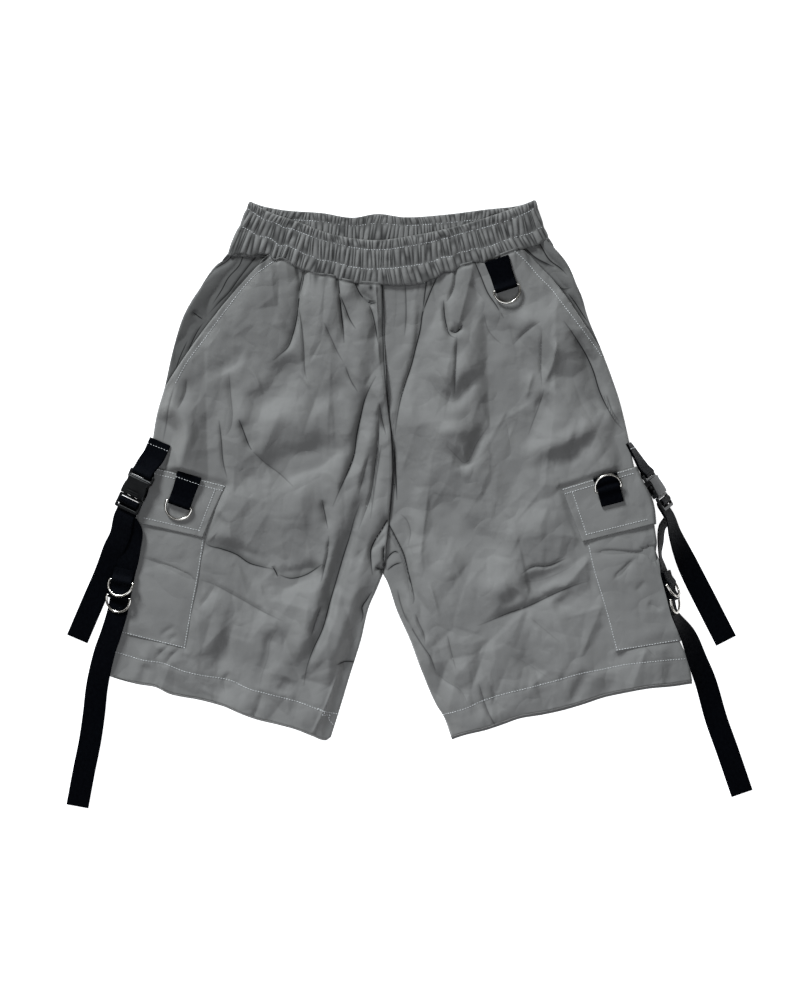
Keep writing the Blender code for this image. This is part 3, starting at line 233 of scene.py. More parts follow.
FRONT_CREASES = {
    "left": creases(
        (2.6, 8, 3.2, 1.1, (-117, 270), (-119, 252), (-123, 234), (-126, 209), (-130, 192), (-136, 176),
         (-145, 168), (-155, 159), FROM_EDGE),
        (1.2, 2.4, 2.4, 1.2, (-119, 261), (-122, 245), (-124, 230), FROM_EDGE),
        (3.4, 15, 17, 0, (-126, 174), (-136, 151), (-146, 131), (-165, 112), (-186, 99)),
        (0.9, 1.6, 2.4, 0.6, (-124, 223), (-120, 196), (-118, 171), (-117, 149), (-114, 138)),
        (1.3, 8, 6, 0, (-192, 180), (-193, 162), (-206, 153), (-221, 150)),
        (1.3, 4, 5.5, 0.35, (-202, 151), (-200, 123), (-198, 101), (-200, 86), (-207, 75)),
        (1, 1.6, 3.2, 0.65, (-213, 97), (-210, 71), (-208, 48), (-203, 28)),
        (2.2, 3.4, 4.6, 0.8, (-191, 97), (-186, 84), (-179, 66), (-174, 58)),
        (1.5, 7, 4.5, 0.4, (-128, 19), (-145, 35), (-161, 47), (-178, 63)),
        (3.4, 19, 13, 0, (-67, 75), (-94, 56), (-123, 43), (-151, 47), (-174, 58)),
        (1.6, 2, 3, 0.85, (-80, 256), (-78, 235), (-76, 213), (-74, 196), (-73, 178), FROM_EDGE),
        (1.8, 3, 5, 0.8, (-79, 237), (-72, 221), (-67, 208), (-59, 195)),
        (1, 1.8, 3, 0.45, (-96, 205), (-87, 185), (-80, 170), (-73, 158)),
        (1, 1.6, 3, 0.55, (-72, 156), (-66, 140), (-57, 125)),
        (2.4, 3, 4, 0.9, (-61, 248), (-55, 236), (-49, 230), (-36, 228), FROM_EDGE),
        (2, 4, 4, 1, (-51, 232), (-44, 226), (-36, 226), FROM_EDGE),
        (1.8, 3, 3, 0.8, (-46, 226), (-41, 213), (-38, 198), (-35, 179)),
        (-1.2, 1.7, 1.7, 0, (-38, 245), (-36, 207), (-35, 176), (-32, 140), FROM_EDGE),
        (2.2, 3.6, 9, 1.2, (-35, 148), (-44, 132), (-50, 118), (-55, 97), (-59, 78), (-62, 56), (-69, 37),
         (-78, 17), (-88, -7)),
        (1.4, 1.6, 3, 0.7, (-34, 115), (-31, 97), (-26, 77)),
        (1.8, 1.5, 4, 0.55, (-34, 111), (-35, 73), (-39, 41), (-44, 9), (-51, -11), (-59, -32)),
        (1, 1.3, 3, 0.4, (-31, 71), (-36, 39), (-41, 6), (-44, -19)),
        (1, 2.6, 3, 0.35, (-45, 59), (-51, 34), (-58, 8)),
        (5, 11, 6, 1.3, (-53, 8), (-61, -13), (-67, -35), (-74, -57), (-81, -81), (-88, -105), (-97, -138),
         (-108, -162), (-115, -183), (-119, -209)),
        (1.6, 3, 3.6, 0.7, (-98, 7), (-95, -8), (-91, -28)),
        (1.2, 1.5, 3, 0.6, (-90, -32), (-92, -56), (-96, -73), (-99, -88)),
        (3.2, 9, 10, 0.8, (-96, -65), (-116, -78), (-133, -82), (-148, -77)),
        (4, 10, 15, 1.2, (-150, -72), (-165, -69), (-179, -65), (-194, -55), (-210, -49), (-226, -44),
         (-232, -34)),
        (1.5, 1.8, 2, 0.9, (-147, -81), (-150, -74), (-154, -68)),
        (1.2, 4, 5.5, 0.15, (-217, -88), (-226, -103), (-237, -116)),
        (0.9, 2, 6, 0.3, (-138, -131), (-165, -118), (-195, -101), (-222, -87), (-240, -82)),
        (1.4, 6, 7, 0.15, (-145, -134), (-156, -153), (-158, -169), (-164, -187), (-169, -207)),
        (1.2, 7, 8, 0, (-198, -106), (-201, -134), (-209, -168), (-221, -192)),
        (1.2, 1.5, 3, 0.5, (-98, -111), (-105, -131), (-110, -147)),
        (1.6, 2, 6, 0.8, (-58, -176), (-72, -175), (-82, -179), FROM_EDGE),
        (-0.7, 1.4, 1.6, 0, (-63, -151), (-78, -183), (-91, -218), (-107, -253), TO_EDGE),
        (1.6, 2.6, 4, 0.8, (-41, -95), (-48, -106), (-53, -114), (-52, -124), (-55, -133)),
        (1.2, 5.5, 5.5, 0, (-133, -193), (-141, -204), (-146, -212)),
        (0.9, 2.4, 5, 0.2, (-257, -142), (-270, -157), (-288, -174)),
        (0.8, 2, 4, 0.2, (-254, -157), (-266, -168), (-276, -181)),
        (0.8, 2.4, 5, 0.15, (-201, -185), (-208, -198), (-206, -212)),
        (0.9, 5.5, 6, 0, (-291, -176), (-297, -189), (-304, -203), TO_EDGE),
        (0.8, 3.4, 4, 0.1, (-165, -205), (-167, -218), (-175, -239), TO_EDGE),
        (-0.6, 1.3, 1.8, 0, (-165, 124), (-172, 144), (-181, 156)),
        (-0.6, 1.3, 1.6, 0, (-124, 149), (-116, 138), (-110, 128)),
        (1.3, 10, 8, 0, (-69, 142), (-89, 124), (-116, 108)),
        (0.5, 1.4, 2, 0.4, (-262, 134), (-268, 112), (-272, 90), (-276, 69)),
        (1, 2, 4.5, 0.35, (-249, 142), (-250, 127), (-253, 118), (-260, 105)),
        (1.8, 3, 4, 0.9, (-25, -17), (-32, -29), (-39, -40), (-43, -50), (-43, -64), (-41, -81), FROM_EDGE),
        (1, 1.8, 2, 0, (-26, -31), (-33, -41), (-40, -48), (-42, -54)),
        (1.4, 1.6, 1.6, 0.9, (-29, -44), (-29, -57), (-29, -69)),
        (2.5, 4, 3, 2, (-24, -72), (-33, -72), (-39, -69), FROM_EDGE),
    ),
    "right": creases(
        (1.2, 1.6, 4.5, 0.5, (-5, 250), (-4, 230), (-4, 207), (-6, 187), FROM_EDGE),
        (0.9, 3, 4, 0.1, (-16, 245), (-15, 224), (-18, 196), FROM_EDGE),
        (2, 3.2, 6, 1.1, (31, 256), (22, 235), (15, 216), (12, 196), (7, 176), (2, 156), (-4, 138),
         (-10, 118), (-14, 97), (-17, 72), FROM_EDGE),
        (1.6, 1.6, 2.2, 0.8, (20, 256), (17, 235), (15, 216), FROM_EDGE),
        (1.2, 5.5, 6, 0, (26, 230), (24, 212), (20, 196)),
        (1.2, 1.6, 3.4, 0.5, (51, 265), (50, 246), (45, 233), (40, 226), FROM_EDGE),
        (2.6, 3, 3, 1, (38, 231), (39, 214), (41, 202), (45, 190), (52, 186)),
        (2.4, 4.5, 3.4, 1, (60, 202), (52, 193), (43, 196)),
        (1, 1.4, 4.5, 0.55, (53, 189), (52, 168), (51, 149), (50, 121)),
        (2.6, 9, 8, 0.1, (83, 152), (63, 131), (49, 116), (34, 124), (20, 146)),
        (1.8, 3, 3.4, 0.8, (73, 272), (80, 255), (88, 236), (97, 223), (107, 206), FROM_EDGE),
        (1.1, 4, 5, 0.1, (67, 251), (76, 239), (85, 228)),
        (1.4, 5, 6.5, 0.25, (83, 215), (88, 196), (95, 187), (106, 178)),
        (0.9, 2, 4, 0.3, (147, 206), (129, 193), (114, 178)),
        (0.9, 3, 4, 0.15, (100, 230), (101, 212), (95, 195)),
        (-2, 4.5, 3.6, 0, (164, 190), (162, 171), (158, 153), (148, 132)),
        (0.9, 1.6, 2.2, 0.4, (147, 198), (147, 174), (147, 149), (148, 130)),
        (-1.1, 3.5, 3, 0, (139, 151), (133, 131), (130, 114)),
        (1.3, 4, 6, 0.35, (151, 131), (144, 109), (138, 93), (132, 76)),
        (2.6, 34, 12, 0, (160, 127), (139, 90), (117, 59)),
        (2.6, 8, 7, 0.25, (91, 92), (76, 71), (62, 47), (51, 56), (38, 69)),
        (-2, 9, 9, 0, (211, 112), (202, 90), (180, 73), (146, 62), (123, 44)),
        (2, 12, 13, 0, (209, 82), (184, 59), (155, 43), (133, 30)),
        (3.4, 18, 20, 0, (133, -65), (101, -52), (68, -35), (34, -11), (-2, 17)),
        (2.8, 9, 3.8, 0.9, (169, 209), (185, 187), (198, 167), (206, 149), (212, 129), (220, 111), (229, 95),
         (242, 81)),
        (2.6, 8, 10, 0.15, (185, -66), (163, -78), (141, -85), (120, -84)),
        (0.8, 1.4, 1.6, 0.6, (176, -59), (155, -68), (138, -69), (123, -78)),
        (2.2, 4.5, 11, 0.6, (204, -84), (189, -88), (169, -96), (152, -104), (133, -113), (110, -121),
         (88, -130), (72, -136)),
        (1.3, 5.5, 6, 0, (122, -93), (113, -105), (98, -109)),
        (1.2, 6, 6, 0, (189, -97), (171, -111), (155, -114)),
        (0.9, 3, 6, 0.15, (133, -124), (152, -140), (170, -155)),
        (0.9, 5.5, 6, 0.1, (111, -167), (129, -176), (146, -187), (161, -197)),
        (2.2, 2.6, 3.4, 1.2, (-25, -18), (-14, -39), (-6, -56), (-2, -73), (3, -93), (5, -106), (2, -114),
         FROM_EDGE),
        (1, 1.8, 2.5, 0.3, (-27, -21), (-18, -39), (-11, -54), (-5, -71), (-1, -90), (1, -108), FROM_EDGE),
        (1.2, 1.5, 2, 0.7, (-25, -32), (-18, -39), (-12, -52), FROM_EDGE),
        (1.6, 2, 3, 0.9, (-10, -55), (-16, -52), (-23, -57), (-26, -63)),
        (2, 2.8, 3, 1, (-8, -64), (-17, -67), (-26, -74)),
        (1.2, 4, 3, 0.3, (-11, -9), (-3, -17), (1, -30), (-2, -46)),
        (1.4, 1.8, 4.5, 0.5, (-14, -93), (-10, -110), (-5, -124), (3, -139)),
        (1.2, 1.5, 4.5, 0.5, (-6, -119), (4, -140), (16, -159), (23, -169), (30, -187), (35, -195)),
        (1, 2.6, 3, 0.4, (6, -120), (11, -133), (16, -144), (17, -157)),
        (0.8, 1.4, 2.4, 0.35, (42, -144), (46, -162), (52, -184)),
        (1.3, 2, 8, 0.2, (26, -183), (40, -196), (57, -207), (66, -225)),
        (0.9, 1.5, 3.4, 0.4, (77, -198), (82, -215), (88, -232), (95, -245), TO_EDGE),
        (-0.7, 1.3, 1.8, 0, (21, -84), (27, -104), (33, -127)),
        (1.6, 2.4, 2.4, 0.9, (-17, 73), (-16, 50), (-15, 28), (-14, 3)),
        (0.9, 1.5, 3, 0.4, (220, 124), (227, 104), (236, 91)),
        (0.8, 1.6, 3, 0.2, (258, -151), (267, -162), (275, -170)),
        (0.9, 6, 6, 0, (199, -178), (193, -196), (182, -218), TO_EDGE),
        (1, 6, 8, 0, (12, -17), (21, -48), (30, -77)),
    ),
}

# Broad soft shapes of the fronts: the middle's x and y, the half lengths along and across, the way of the
# long axis in degrees, and the height.
FRONT_SWELLS = {
    "left": [
        (-122.6, 93, 44, 24, 4, 2.6), (-145, 99.7, 20, 13, -30, 1.2), (-169.7, -12.3, 48, 28, -22, 2.6),
        (-98, 209.4, 42, 16, 85, 1.4), (-165.2, 229.6, 44, 22, 50, 1.6), (-64.4, 112, 60, 10, 80, 1.4),
        (-53.2, 39.2, 62, 7, 76, 1.8), (-87.9, -61.6, 52, 11, 75, 2.0), (-72.2, -134.4, 72, 9, 72, 2.4),
        (-189.8, -134.4, 60, 26, -20, 1.4), (-128.2, -162.4, 50, 14, 75, 1.2), (-245.8, 84, 52, 18, 80, 1.2),
        (-120.4, 0, 40, 16, 62, 1.2),
    ],
    "right": [
        (5, 196, 60, 8, 88, 1.4), (29.7, 168, 44, 12, 76, 1.6), (56.6, 149, 24, 16, 30, 1.6),
        (76.7, 196, 46, 13, 85, 1.4), (118.2, 207.2, 44, 18, -50, 1.6), (185.4, 162.4, 52, 15, -60, 1.4),
        (49.8, 84, 18, 10, 8, 1.8), (196.6, 72.8, 44, 18, -60, 1.0), (23, 39.2, 70, 16, 75, 1.4),
        (140.6, -28, 54, 26, 35, 2.4), (45.4, -78.4, 56, 20, 70, 1.4), (98, -93, 17, 13, 10, 2.4),
        (101.4, -162.4, 56, 24, 25, 1.6), (185.4, -151.2, 50, 20, 20, 1.0), (107, -231.8, 30, 14, 35, 1.6),
    ],
}
FACING_CREASES = {
    "left": creases(
        (1.8, 3.6, 4, 1.2, (-193, 286), (-204, 273), (-220, 263), (-235, 245), FROM_EDGE),
        (1.5, 2, 4, 1.2, (-185, 283), (-190, 269), (-203, 254), (-210, 241), (-217, 230), (-226, 217),
         FROM_EDGE),
        (2.8, 9, 4, 1.7, (-169, 281), (-179, 269), (-192, 252), (-203, 237), (-214, 226), (-223, 216),
         (-232, 205), FROM_EDGE),
        (1.2, 2.4, 2.4, 1.3, (-244, 217), (-236, 211), (-229, 206)),
        (2, 16, 5, 1.5, (-227, 209), (-237, 195), (-247, 174), (-255, 153)),
        (1.2, 14, 6, 0.8, (-246, 189), (-257, 165), (-265, 140)),
    ),
    "right": creases(
        (2.6, 7, 4, 1.8, (127, 290), (141, 277), (154, 270), (166, 265), FROM_EDGE),
        (1.5, 2, 3, 1.2, (146, 292), (157, 274), (169, 265), (179, 254), FROM_EDGE),
        (2.6, 8, 4, 1.9, (147, 265), (160, 252), (171, 242), (184, 244)),
        (1.5, 4, 3, 1, (175, 240), (185, 227), (194, 213), (204, 198)),
    ),
}
BAG_CREASES = {
    "left": creases(
        (0.9, 1.6, 5.4, 0.25, (-235, -85), (-257, -74), (-279, -65), (-302, -57), FROM_EDGE),
        (1, 1.8, 3.5, 0.15, (-259, -143), (-273, -157), (-287, -169)),
        (0.6, 3, 5, 0, (-259, -134), (-273, -142), (-282, -151)),
    ),
    "right": creases(
        (1, 1.5, 4.8, 0.35, (269, -53), (249, -53), (225, -52), (200, -53), FROM_EDGE),
        (1, 1.8, 4.2, 0.15, (254, -57), (240, -71), (225, -85)),
        (1.4, 2.4, 2.9, 0.5, (265, -43), (273, -57), (277, -69)),
        (0.9, 1.4, 2.9, 0.25, (256, -46), (267, -54), (274, -65)),
        (0.8, 3.4, 4.8, 0.1, (265, -109), (276, -113), (285, -118)),
        (0.6, 3, 4, 0, (264, -84), (256, -93), (250, -97)),
    ),
}
# Tucks along a seam: from and to which x, and a seed.
WAIST_TUCKS = {"left": (-165.0, -30.0, 5), "right": (-30.0, 150.0, 6)}
HEM_TUCKS = {"left": (-330.0, -90.0, 7), "right": (50.0, 310.0, 8)}
# Spots where shade is painted, as dark as cloth pinched shut: at the crotch, and against the waist seam.
PAINTED_SHADE_SPOTS = [
    (-28.6, -66.1), (-31.9, -73.9), (-118.2, 265.4), (-166.3, 277.8), (-81.2, 252), (-58.8, 247.5),
    (-43.1, 243), (-30.8, 245.3), (16.2, 255.4), (72.2, 272.2), (122.6, 285.6),
]

# ---------------------------------------------------------------- stitch lines on the cloth

MOUTH_STITCH = {
    "left": [
        (-150.6, 272.7), (-160.7, 265.4), (-171.9, 257), (-184.2, 244.2), (-212.2, 208.3), (-230.2, 183.7),
        (-248.1, 159), (-260.4, 136.6),
    ],
    "right": [
        (118.2, 283.4), (132, 270.5), (145, 255), (157.8, 242.1), (169, 226.7), (186.5, 203.8),
        (202.2, 183.7), (214.5, 166.9),
    ],
}
HEM_STITCH = {
    "left": [
        (-331, -163.5), (-299, -173), (-273.8, -177), (-254.2, -184.8), (-231.8, -190.4), (-201, -196),
        (-178.6, -205.7), (-161.8, -210), (-139.4, -215.6), (-119.8, -221.2), (-97.4, -229.6), (-79, -234.1),
    ],
    "right": [
        (38.6, -234.1), (62.2, -226.8), (81.8, -218.4), (104.2, -211.3), (132.2, -204.4), (160.2, -197.1),
        (188.2, -188.9), (216.2, -183.3), (244.2, -177.7), (272.2, -174.7), (307.4, -171.9),
    ],
}
HEM_TACK = [
    (-101.4, -227.4), (-94.6, -231.8), (-96.9, -234.1), (-89, -235.2), (-90.2, -238.6), (-85.7, -245.3),
]
FLAP_TOP_ROWS = (1.3, 6.6)  # two rows along the seam
WEBBING_STITCH = 7.0  # from a webbing's sewn end

# ---------------------------------------------------------------- webbing, rings and buckles

# A place on a webbing's middle, and its roll in degrees.
Run = namedtuple("Run", "x y z roll")
WIRE = 2.6  # its diameter
WEBBING = 1.3  # its thickness
GAP = 0.3
STRAP_WIDTH = 25.0
LOOP_WIDTH = 28.0
LOOP_FOLD_WIDTH = 25.6
# A D-ring: the width inside it, the straight legs from its bar, its arc's reach, and its corners' radius.
RING_INNER = 26.8
RING_LEG = 3.0
RING_DEPTH = 17.0
RING_CORNER = 1.2
# From the middle between two plies to each one's own: together, round a ring's bar, and round the buckle's
# top bar.
PLY = WEBBING / 2 + GAP / 2
BAR_PLY = WIRE / 2 + GAP + WEBBING / 2
TAB_PLY = 3.3
HUMP_REACH = 4.6  # how far from a bar the plies come together
RING_LOOP_ABOVE = 14.0  # the part of the ring loop above the upper ring
TAB_BAR = -1.6  # where the buckle's top bar is, in its frame
LEAVING = (-50.0, -54.0)  # where the strap leaves the buckle
TILTS = {"hanging": -4, "flipped": 164, "upper": 16, "lower": -5}

Loop = namedtuple("Loop", "sewn_x sewn_y end_x end_y bar_above_end ring tilt")
LOOPS = {
    "waist_loop": Loop(97, 275, 107.7, 242.5, 0, "waist_ring", "hanging"),
    "flap_loop_left": Loop(-245, 34, -256.6, 0.7, 0, "flap_ring_left", "hanging"),
    "flap_loop_right": Loop(218, 33, 226.3, 2.3, 15.5, "flap_ring_right", "flipped"),
}
BUCKLES = {
    "left": (Run(-297.0, 36.0, 12.4, -20), (-20.0, -43.0)),
    "right": (Run(264.3, 35.8, 17.2, 62), (25.7, -42.5)),
}
TABS = {
    "left": [Run(-278.3, 71.0, 8.1, -3), Run(-285.6, 54.5, 10.2, -10)],
    "right": [Run(244.0, 69.0, 13.4, 76), Run(254.0, 53.0, 15.2, 68)],
}
RING_BARS = {
    "left": (Run(-324.4, -102.4, 11.4, -20), (-3.4, -17.2)),
    "right": (Run(295.0, -103.6, 16.4, 66), (4.3, -16.6)),
}
# The strap's way beyond the buckle, as rows like those of a Run: from the buckle to the double rings, from
# these to the hanging end, and from the buckle to the free end.
STANDING_RUNS = {
    "left": [(-309.5, -30, 9.6, -21), (-311.5, -48, 9.2, -20), (-314.5, -64, 8.6, -20)],
    "right": [(281.4, -25, 15.4, 66), (279.8, -42, 14.6, 70), (279.4, -56, 14.6, 78), (282.2, -68, 15.0, 72)],
}
LOWER_RUNS = {
    "left": [
        (-333.9, -144.5, 6.4, -18), (-341.0, -165, 5.0, -14), (-349.4, -201.6, 2.8, -7),
        (-353.4, -235, 1.2, -1), (-357.5, -263, 0.9, 0), (-364.5, -298, 0.9, 0), (-371.8, -337.4, 0.9, 0),
    ],
    "right": [
        (311.5, -146.7, 9.0, 38), (321.9, -173.6, 6.2, 24), (331.0, -197, 3.6, 12), (343.3, -239.5, 1.2, 1),
        (355.6, -274, 0.9, 0), (372.4, -323, 0.9, 0),
    ],
}
TAILS = {
    "left": [
        (-323.5, -34, 7.4, -18), (-330.5, -49, 4.8, -12), (-335.0, -62, 2.6, -5), (-341.0, -78, 1.2, 0),
        (-354.5, -109, 0.9, 0), (-372.0, -150, 0.9, 0),
    ],
    "right": [
        (295.5, -31, 12.4, 50), (301.5, -46, 9.2, 36), (313.0, -71, 4.6, 14), (334.0, -112, 1.2, 2),
        (354.5, -152, 0.9, 0),
    ],
}
# The strap's middle through the ladder: Y and Z in the buckle's frame.
LADDER_WAY = [
    (-44.5, -4.7), (-39.0, -4.7), (-35.7, -4.05), (-33.75, -2.35), (-33.35, 0.0), (-33.45, 1.95),
    (-34.6, 3.2), (-36.5, 3.55), (-38.6, 2.95), (-39.9, 1.2), (-40.6, -0.6), (-41.4, -2.4), (-43.0, -3.1),
    (-45.2, -3.1),
]

# Buckle, in its own frame: Y runs down from 0 at its top, Z is out of its face.
SOCKET_END = -29.0
PLUG_TOP = -29.4
PLUG_END = -46.3
SOCKET_HALF = 4.6
PLUG_HALF = 1.8
BAR_HALF = 1.6
SOCKET_OUTLINE = [
    (14.4, 0.0), (15.6, -0.4), (16.0, -1.6), (16.0, -6.6), (15.6, -7.8), (13.9, -9.6), (13.2, -11.6),
    (13.1, -13.4), (13.6, -16.0), (14.3, -18.4), (14.6, -22.0), (14.8, -28.0), (14.4, SOCKET_END),
]
PLUG_OUTLINE = [
    (1.4, -15), (1.4, PLUG_TOP), (7.6, PLUG_TOP), (8.6, -21), (8.8, -15), (9.4, -13.9), (10.6, -13.6),
    (12.2, -14.4), (12.9, -15.8), (12.6, -17.6), (11.2, -20), (10.8, -25), (10.6, PLUG_TOP), (14.6, PLUG_TOP),
    (15.1, -30.4), (15.1, -45.0), (14.6, -46.0), (13.4, PLUG_END),
]
# Boxes cut out of each half, as their lowest and highest corners.
SOCKET_CUTS = [
    ((-13.3, -5.8, -6), (13.3, -3.2, 6)),
    ((-17, -7.9, BAR_HALF), (17, 1, 6)),
    ((-17, -7.9, -6), (17, 1, -BAR_HALF)),
    ((-11.8, -30, -2.7), (11.8, -11.5, 2.7)),
    ((9.0, -24.0, -3.1), (17, -14.0, 3.1)),
    ((-17, -24.0, -3.1), (-9.0, -14.0, 3.1)),
    ((-7.5, -26.5, 4.25), (7.5, -25.2, 6)),
    ((-7.5, -24.2, 4.25), (7.5, -22.9, 6)),
]
PLUG_CUTS = [
    ((-12.9, -34.7, -3), (12.9, -32.0, 3)),
    ((-12.9, -42.7, -3), (12.9, -38.3, 3)),
]


# ---------------------------------------------------------------- settings


class ClothSettings(bpy.types.PropertyGroup):
    """The shorts' cloth and its folds"""

    thickness: FloatProperty(
        name="Thickness", description="Of one ply of cloth, in mm", default=0.6, min=0.2, max=1.5
    )
    fold_depth: FloatProperty(
        name="Fold depth", description="Multiplies the depth of every fold", default=2.3, min=0, max=3
    )
    crumple: FloatProperty(
        name="Crumple", description="Multiplies the small stray kinks in the cloth", default=1.0, min=0, max=3
    )
    cell: FloatProperty(
        name="Cell", description="Size of the panels' mesh cells, in mm", default=1.28, min=1, max=10
    )
    colour: FloatVectorProperty(
        name="Colour", description="sRGB colour of the coated cloth", subtype="COLOR_GAMMA", size=3,
        default=(0.452, 0.45, 0.443), min=0, max=1,
    )


class WaistbandSettings(bpy.types.PropertyGroup):
    """The elastic waistband's gathers"""

    pitch: FloatProperty(
        name="Pitch", description="Mean distance between gathers, in mm", default=3.9, min=2, max=12
    )
    height: FloatProperty(name="Height", description="Of a full gather, in mm", default=2.3, min=0, max=4)
    columns: IntProperty(name="Columns", description="Mesh columns of a half", default=700, min=60, max=900)


class StitchSettings(bpy.types.PropertyGroup):
    """The topstitching"""

    pitch: FloatProperty(name="Pitch", description="Of the stitches, in mm", default=3.0, min=1, max=8)
    length: FloatProperty(
        name="Length", description="Of one visible stitch, in mm", default=2.2, min=0.5, max=6
    )
    thread: FloatProperty(
        name="Thread", description="Diameter of the thread, in mm", default=0.75, min=0.1, max=2
    )


class HardwareSettings(bpy.types.PropertyGroup):
    """Webbing, buckles and D-rings"""

    rib: FloatProperty(
        name="Rib", description="Spacing of the webbing's ribs, in mm", default=1.1, min=0.3, max=5
    )
    moulding: FloatProperty(
        name="Moulding cell", description="Cell in which the buckles are rounded off, in mm", default=0.6,
        min=0.3, max=2,
    )


class StageSettings(bpy.types.PropertyGroup):
    """Camera, floor and light"""

    height: FloatProperty(
        name="Camera height", description="Above the floor", default=3.0, min=1, max=10, unit="LENGTH"
    )
    covers: FloatProperty(
        name="Covers", description="Height of the picture on the floor", default=1.12, min=0.5, max=3,
        unit="LENGTH",
    )
    key: FloatProperty(
        name="Key light", description="Power of the soft main light, in W", default=2050, min=0
    )
    fill: FloatProperty(
        name="Hem light", description="Power of the light over the hems, in W", default=9, min=0
    )
    glow: FloatProperty(name="Glow", description="Of the light table", default=0.85, min=0)
    sky: FloatProperty(name="Sky", description="Strength of the light from all round", default=0.1, min=0)


class ShortsSettings(bpy.types.PropertyGroup):
    """All sizes and colours of the shorts"""

    cloth: PointerProperty(type=ClothSettings)
    waistband: PointerProperty(type=WaistbandSettings)
    stitches: PointerProperty(type=StitchSettings)
    hardware: PointerProperty(type=HardwareSettings)
    stage: PointerProperty(type=StageSettings)


def settings():
    return bpy.context.scene.shorts


# ---------------------------------------------------------------- lines and fields in plan


def reach_along(points):
    """How far along a line each of its points is."""
    return np.concatenate([[0], np.cumsum(np.linalg.norm(np.diff(points, axis=0), axis=1))])


def curve_through(points, knots, count):
    """A smooth curve through points that it reaches at these knots, at even steps between the knots' ends."""
    secants = np.diff(points, axis=0) / np.diff(knots)[:, None]
    slopes = np.concatenate([secants[:1], (secants[:-1] + secants[1:]) / 2, secants[-1:]])
    at = np.linspace(0, knots[-1], count)
    span = np.clip(np.searchsorted(knots, at, side="right") - 1, 0, len(knots) - 2)
    length = (knots[span + 1] - knots[span])[:, None]
    s = (at - knots[span])[:, None] / length
    return (
        (2 * s**3 - 3 * s**2 + 1) * points[span]
        + (s**3 - 2 * s**2 + s) * length * slopes[span]
        + (3 * s**2 - 2 * s**3) * points[span + 1]
        + (s**3 - s**2) * length * slopes[span + 1]
    )


def even_steps(line, count):
    """Points at even distances along a line."""
    along = reach_along(line)
    wanted = np.linspace(0, along[-1], count)
    return np.stack([np.interp(wanted, along, column) for column in line.T], axis=1)


def smooth_line(points, count):
    """Points at even distances along a smooth line through these ones."""
    points = np.asarray(points, float)
    if len(points) == 2:
        return points[0] + (points[1] - points[0]) * np.linspace(0, 1, count)[:, None]
    return even_steps(curve_through(points, reach_along(points), 8 * len(points)), count)


def join_lines(*lines):
    return np.concatenate([np.asarray(lines[0], float)] + [np.asarray(line, float)[1:] for line in lines[1:]])


def line_distance(line, spots):
    """The distance from each spot to a line, positive on its left hand, and the share of its length where."""
    line = np.asarray(line, float)
    along = np.diff(line, axis=0)
    lengths = np.linalg.norm(along, axis=1)
    away = spots[:, None] - line[None, :-1]
    share = np.clip((away * along).sum(2) / lengths**2, 0, 1)
    off = away - share[..., None] * along
    distance = np.linalg.norm(off, axis=2)
    nearest = distance.argmin(1)
    rows = np.arange(len(spots))
    side = along[nearest, 0] * off[rows, nearest, 1] - along[nearest, 1] * off[rows, nearest, 0]
    reached = np.concatenate([[0], np.cumsum(lengths)])
    at = (reached[nearest] + share[rows, nearest] * lengths[nearest]) / reached[-1]
    return distance[rows, nearest] * np.where(side < 0, -1, 1), at


def away_from(line, spots, count=60):
    """The distance from each spot to a smooth line, drawn with this many points."""
    return np.abs(line_distance(smooth_line(line, count), spots)[0])


def smoothstep(share):
    share = np.clip(share, 0, 1)
    return share * share * (3 - 2 * share)


def rounded(distance, radius):
    """The profile of a folded edge: 0 at the edge, 1 from the radius on."""
    share = np.clip(distance / radius, 0, 1)
    return np.sqrt(share * (2 - share))


def grid_patch(top, outer, bottom, inner, columns, rows):
    """Plan points between four lines. Top and bottom run outwards, inner and outer downwards."""
    u, v = np.linspace(0, 1, columns)[None, :, None], np.linspace(0, 1, rows)[:, None, None]
    top, bottom = smooth_line(top, columns)[None], smooth_line(bottom, columns)[None]
    inner, outer = (join_even(line, rows)[:, None] for line in (inner, outer))
    corners = (1 - u) * (1 - v) * top[:, :1] + u * (1 - v) * top[:, -1:]
    corners = corners + (1 - u) * v * bottom[:, :1] + u * v * bottom[:, -1:]
    return (1 - v) * top + v * bottom + (1 - u) * inner + u * outer - corners


def join_even(parts, count):
    """Evenly spaced points along lines that meet in corners."""
    return even_steps(join_lines(*[smooth_line(part, 120) for part in parts]), count)


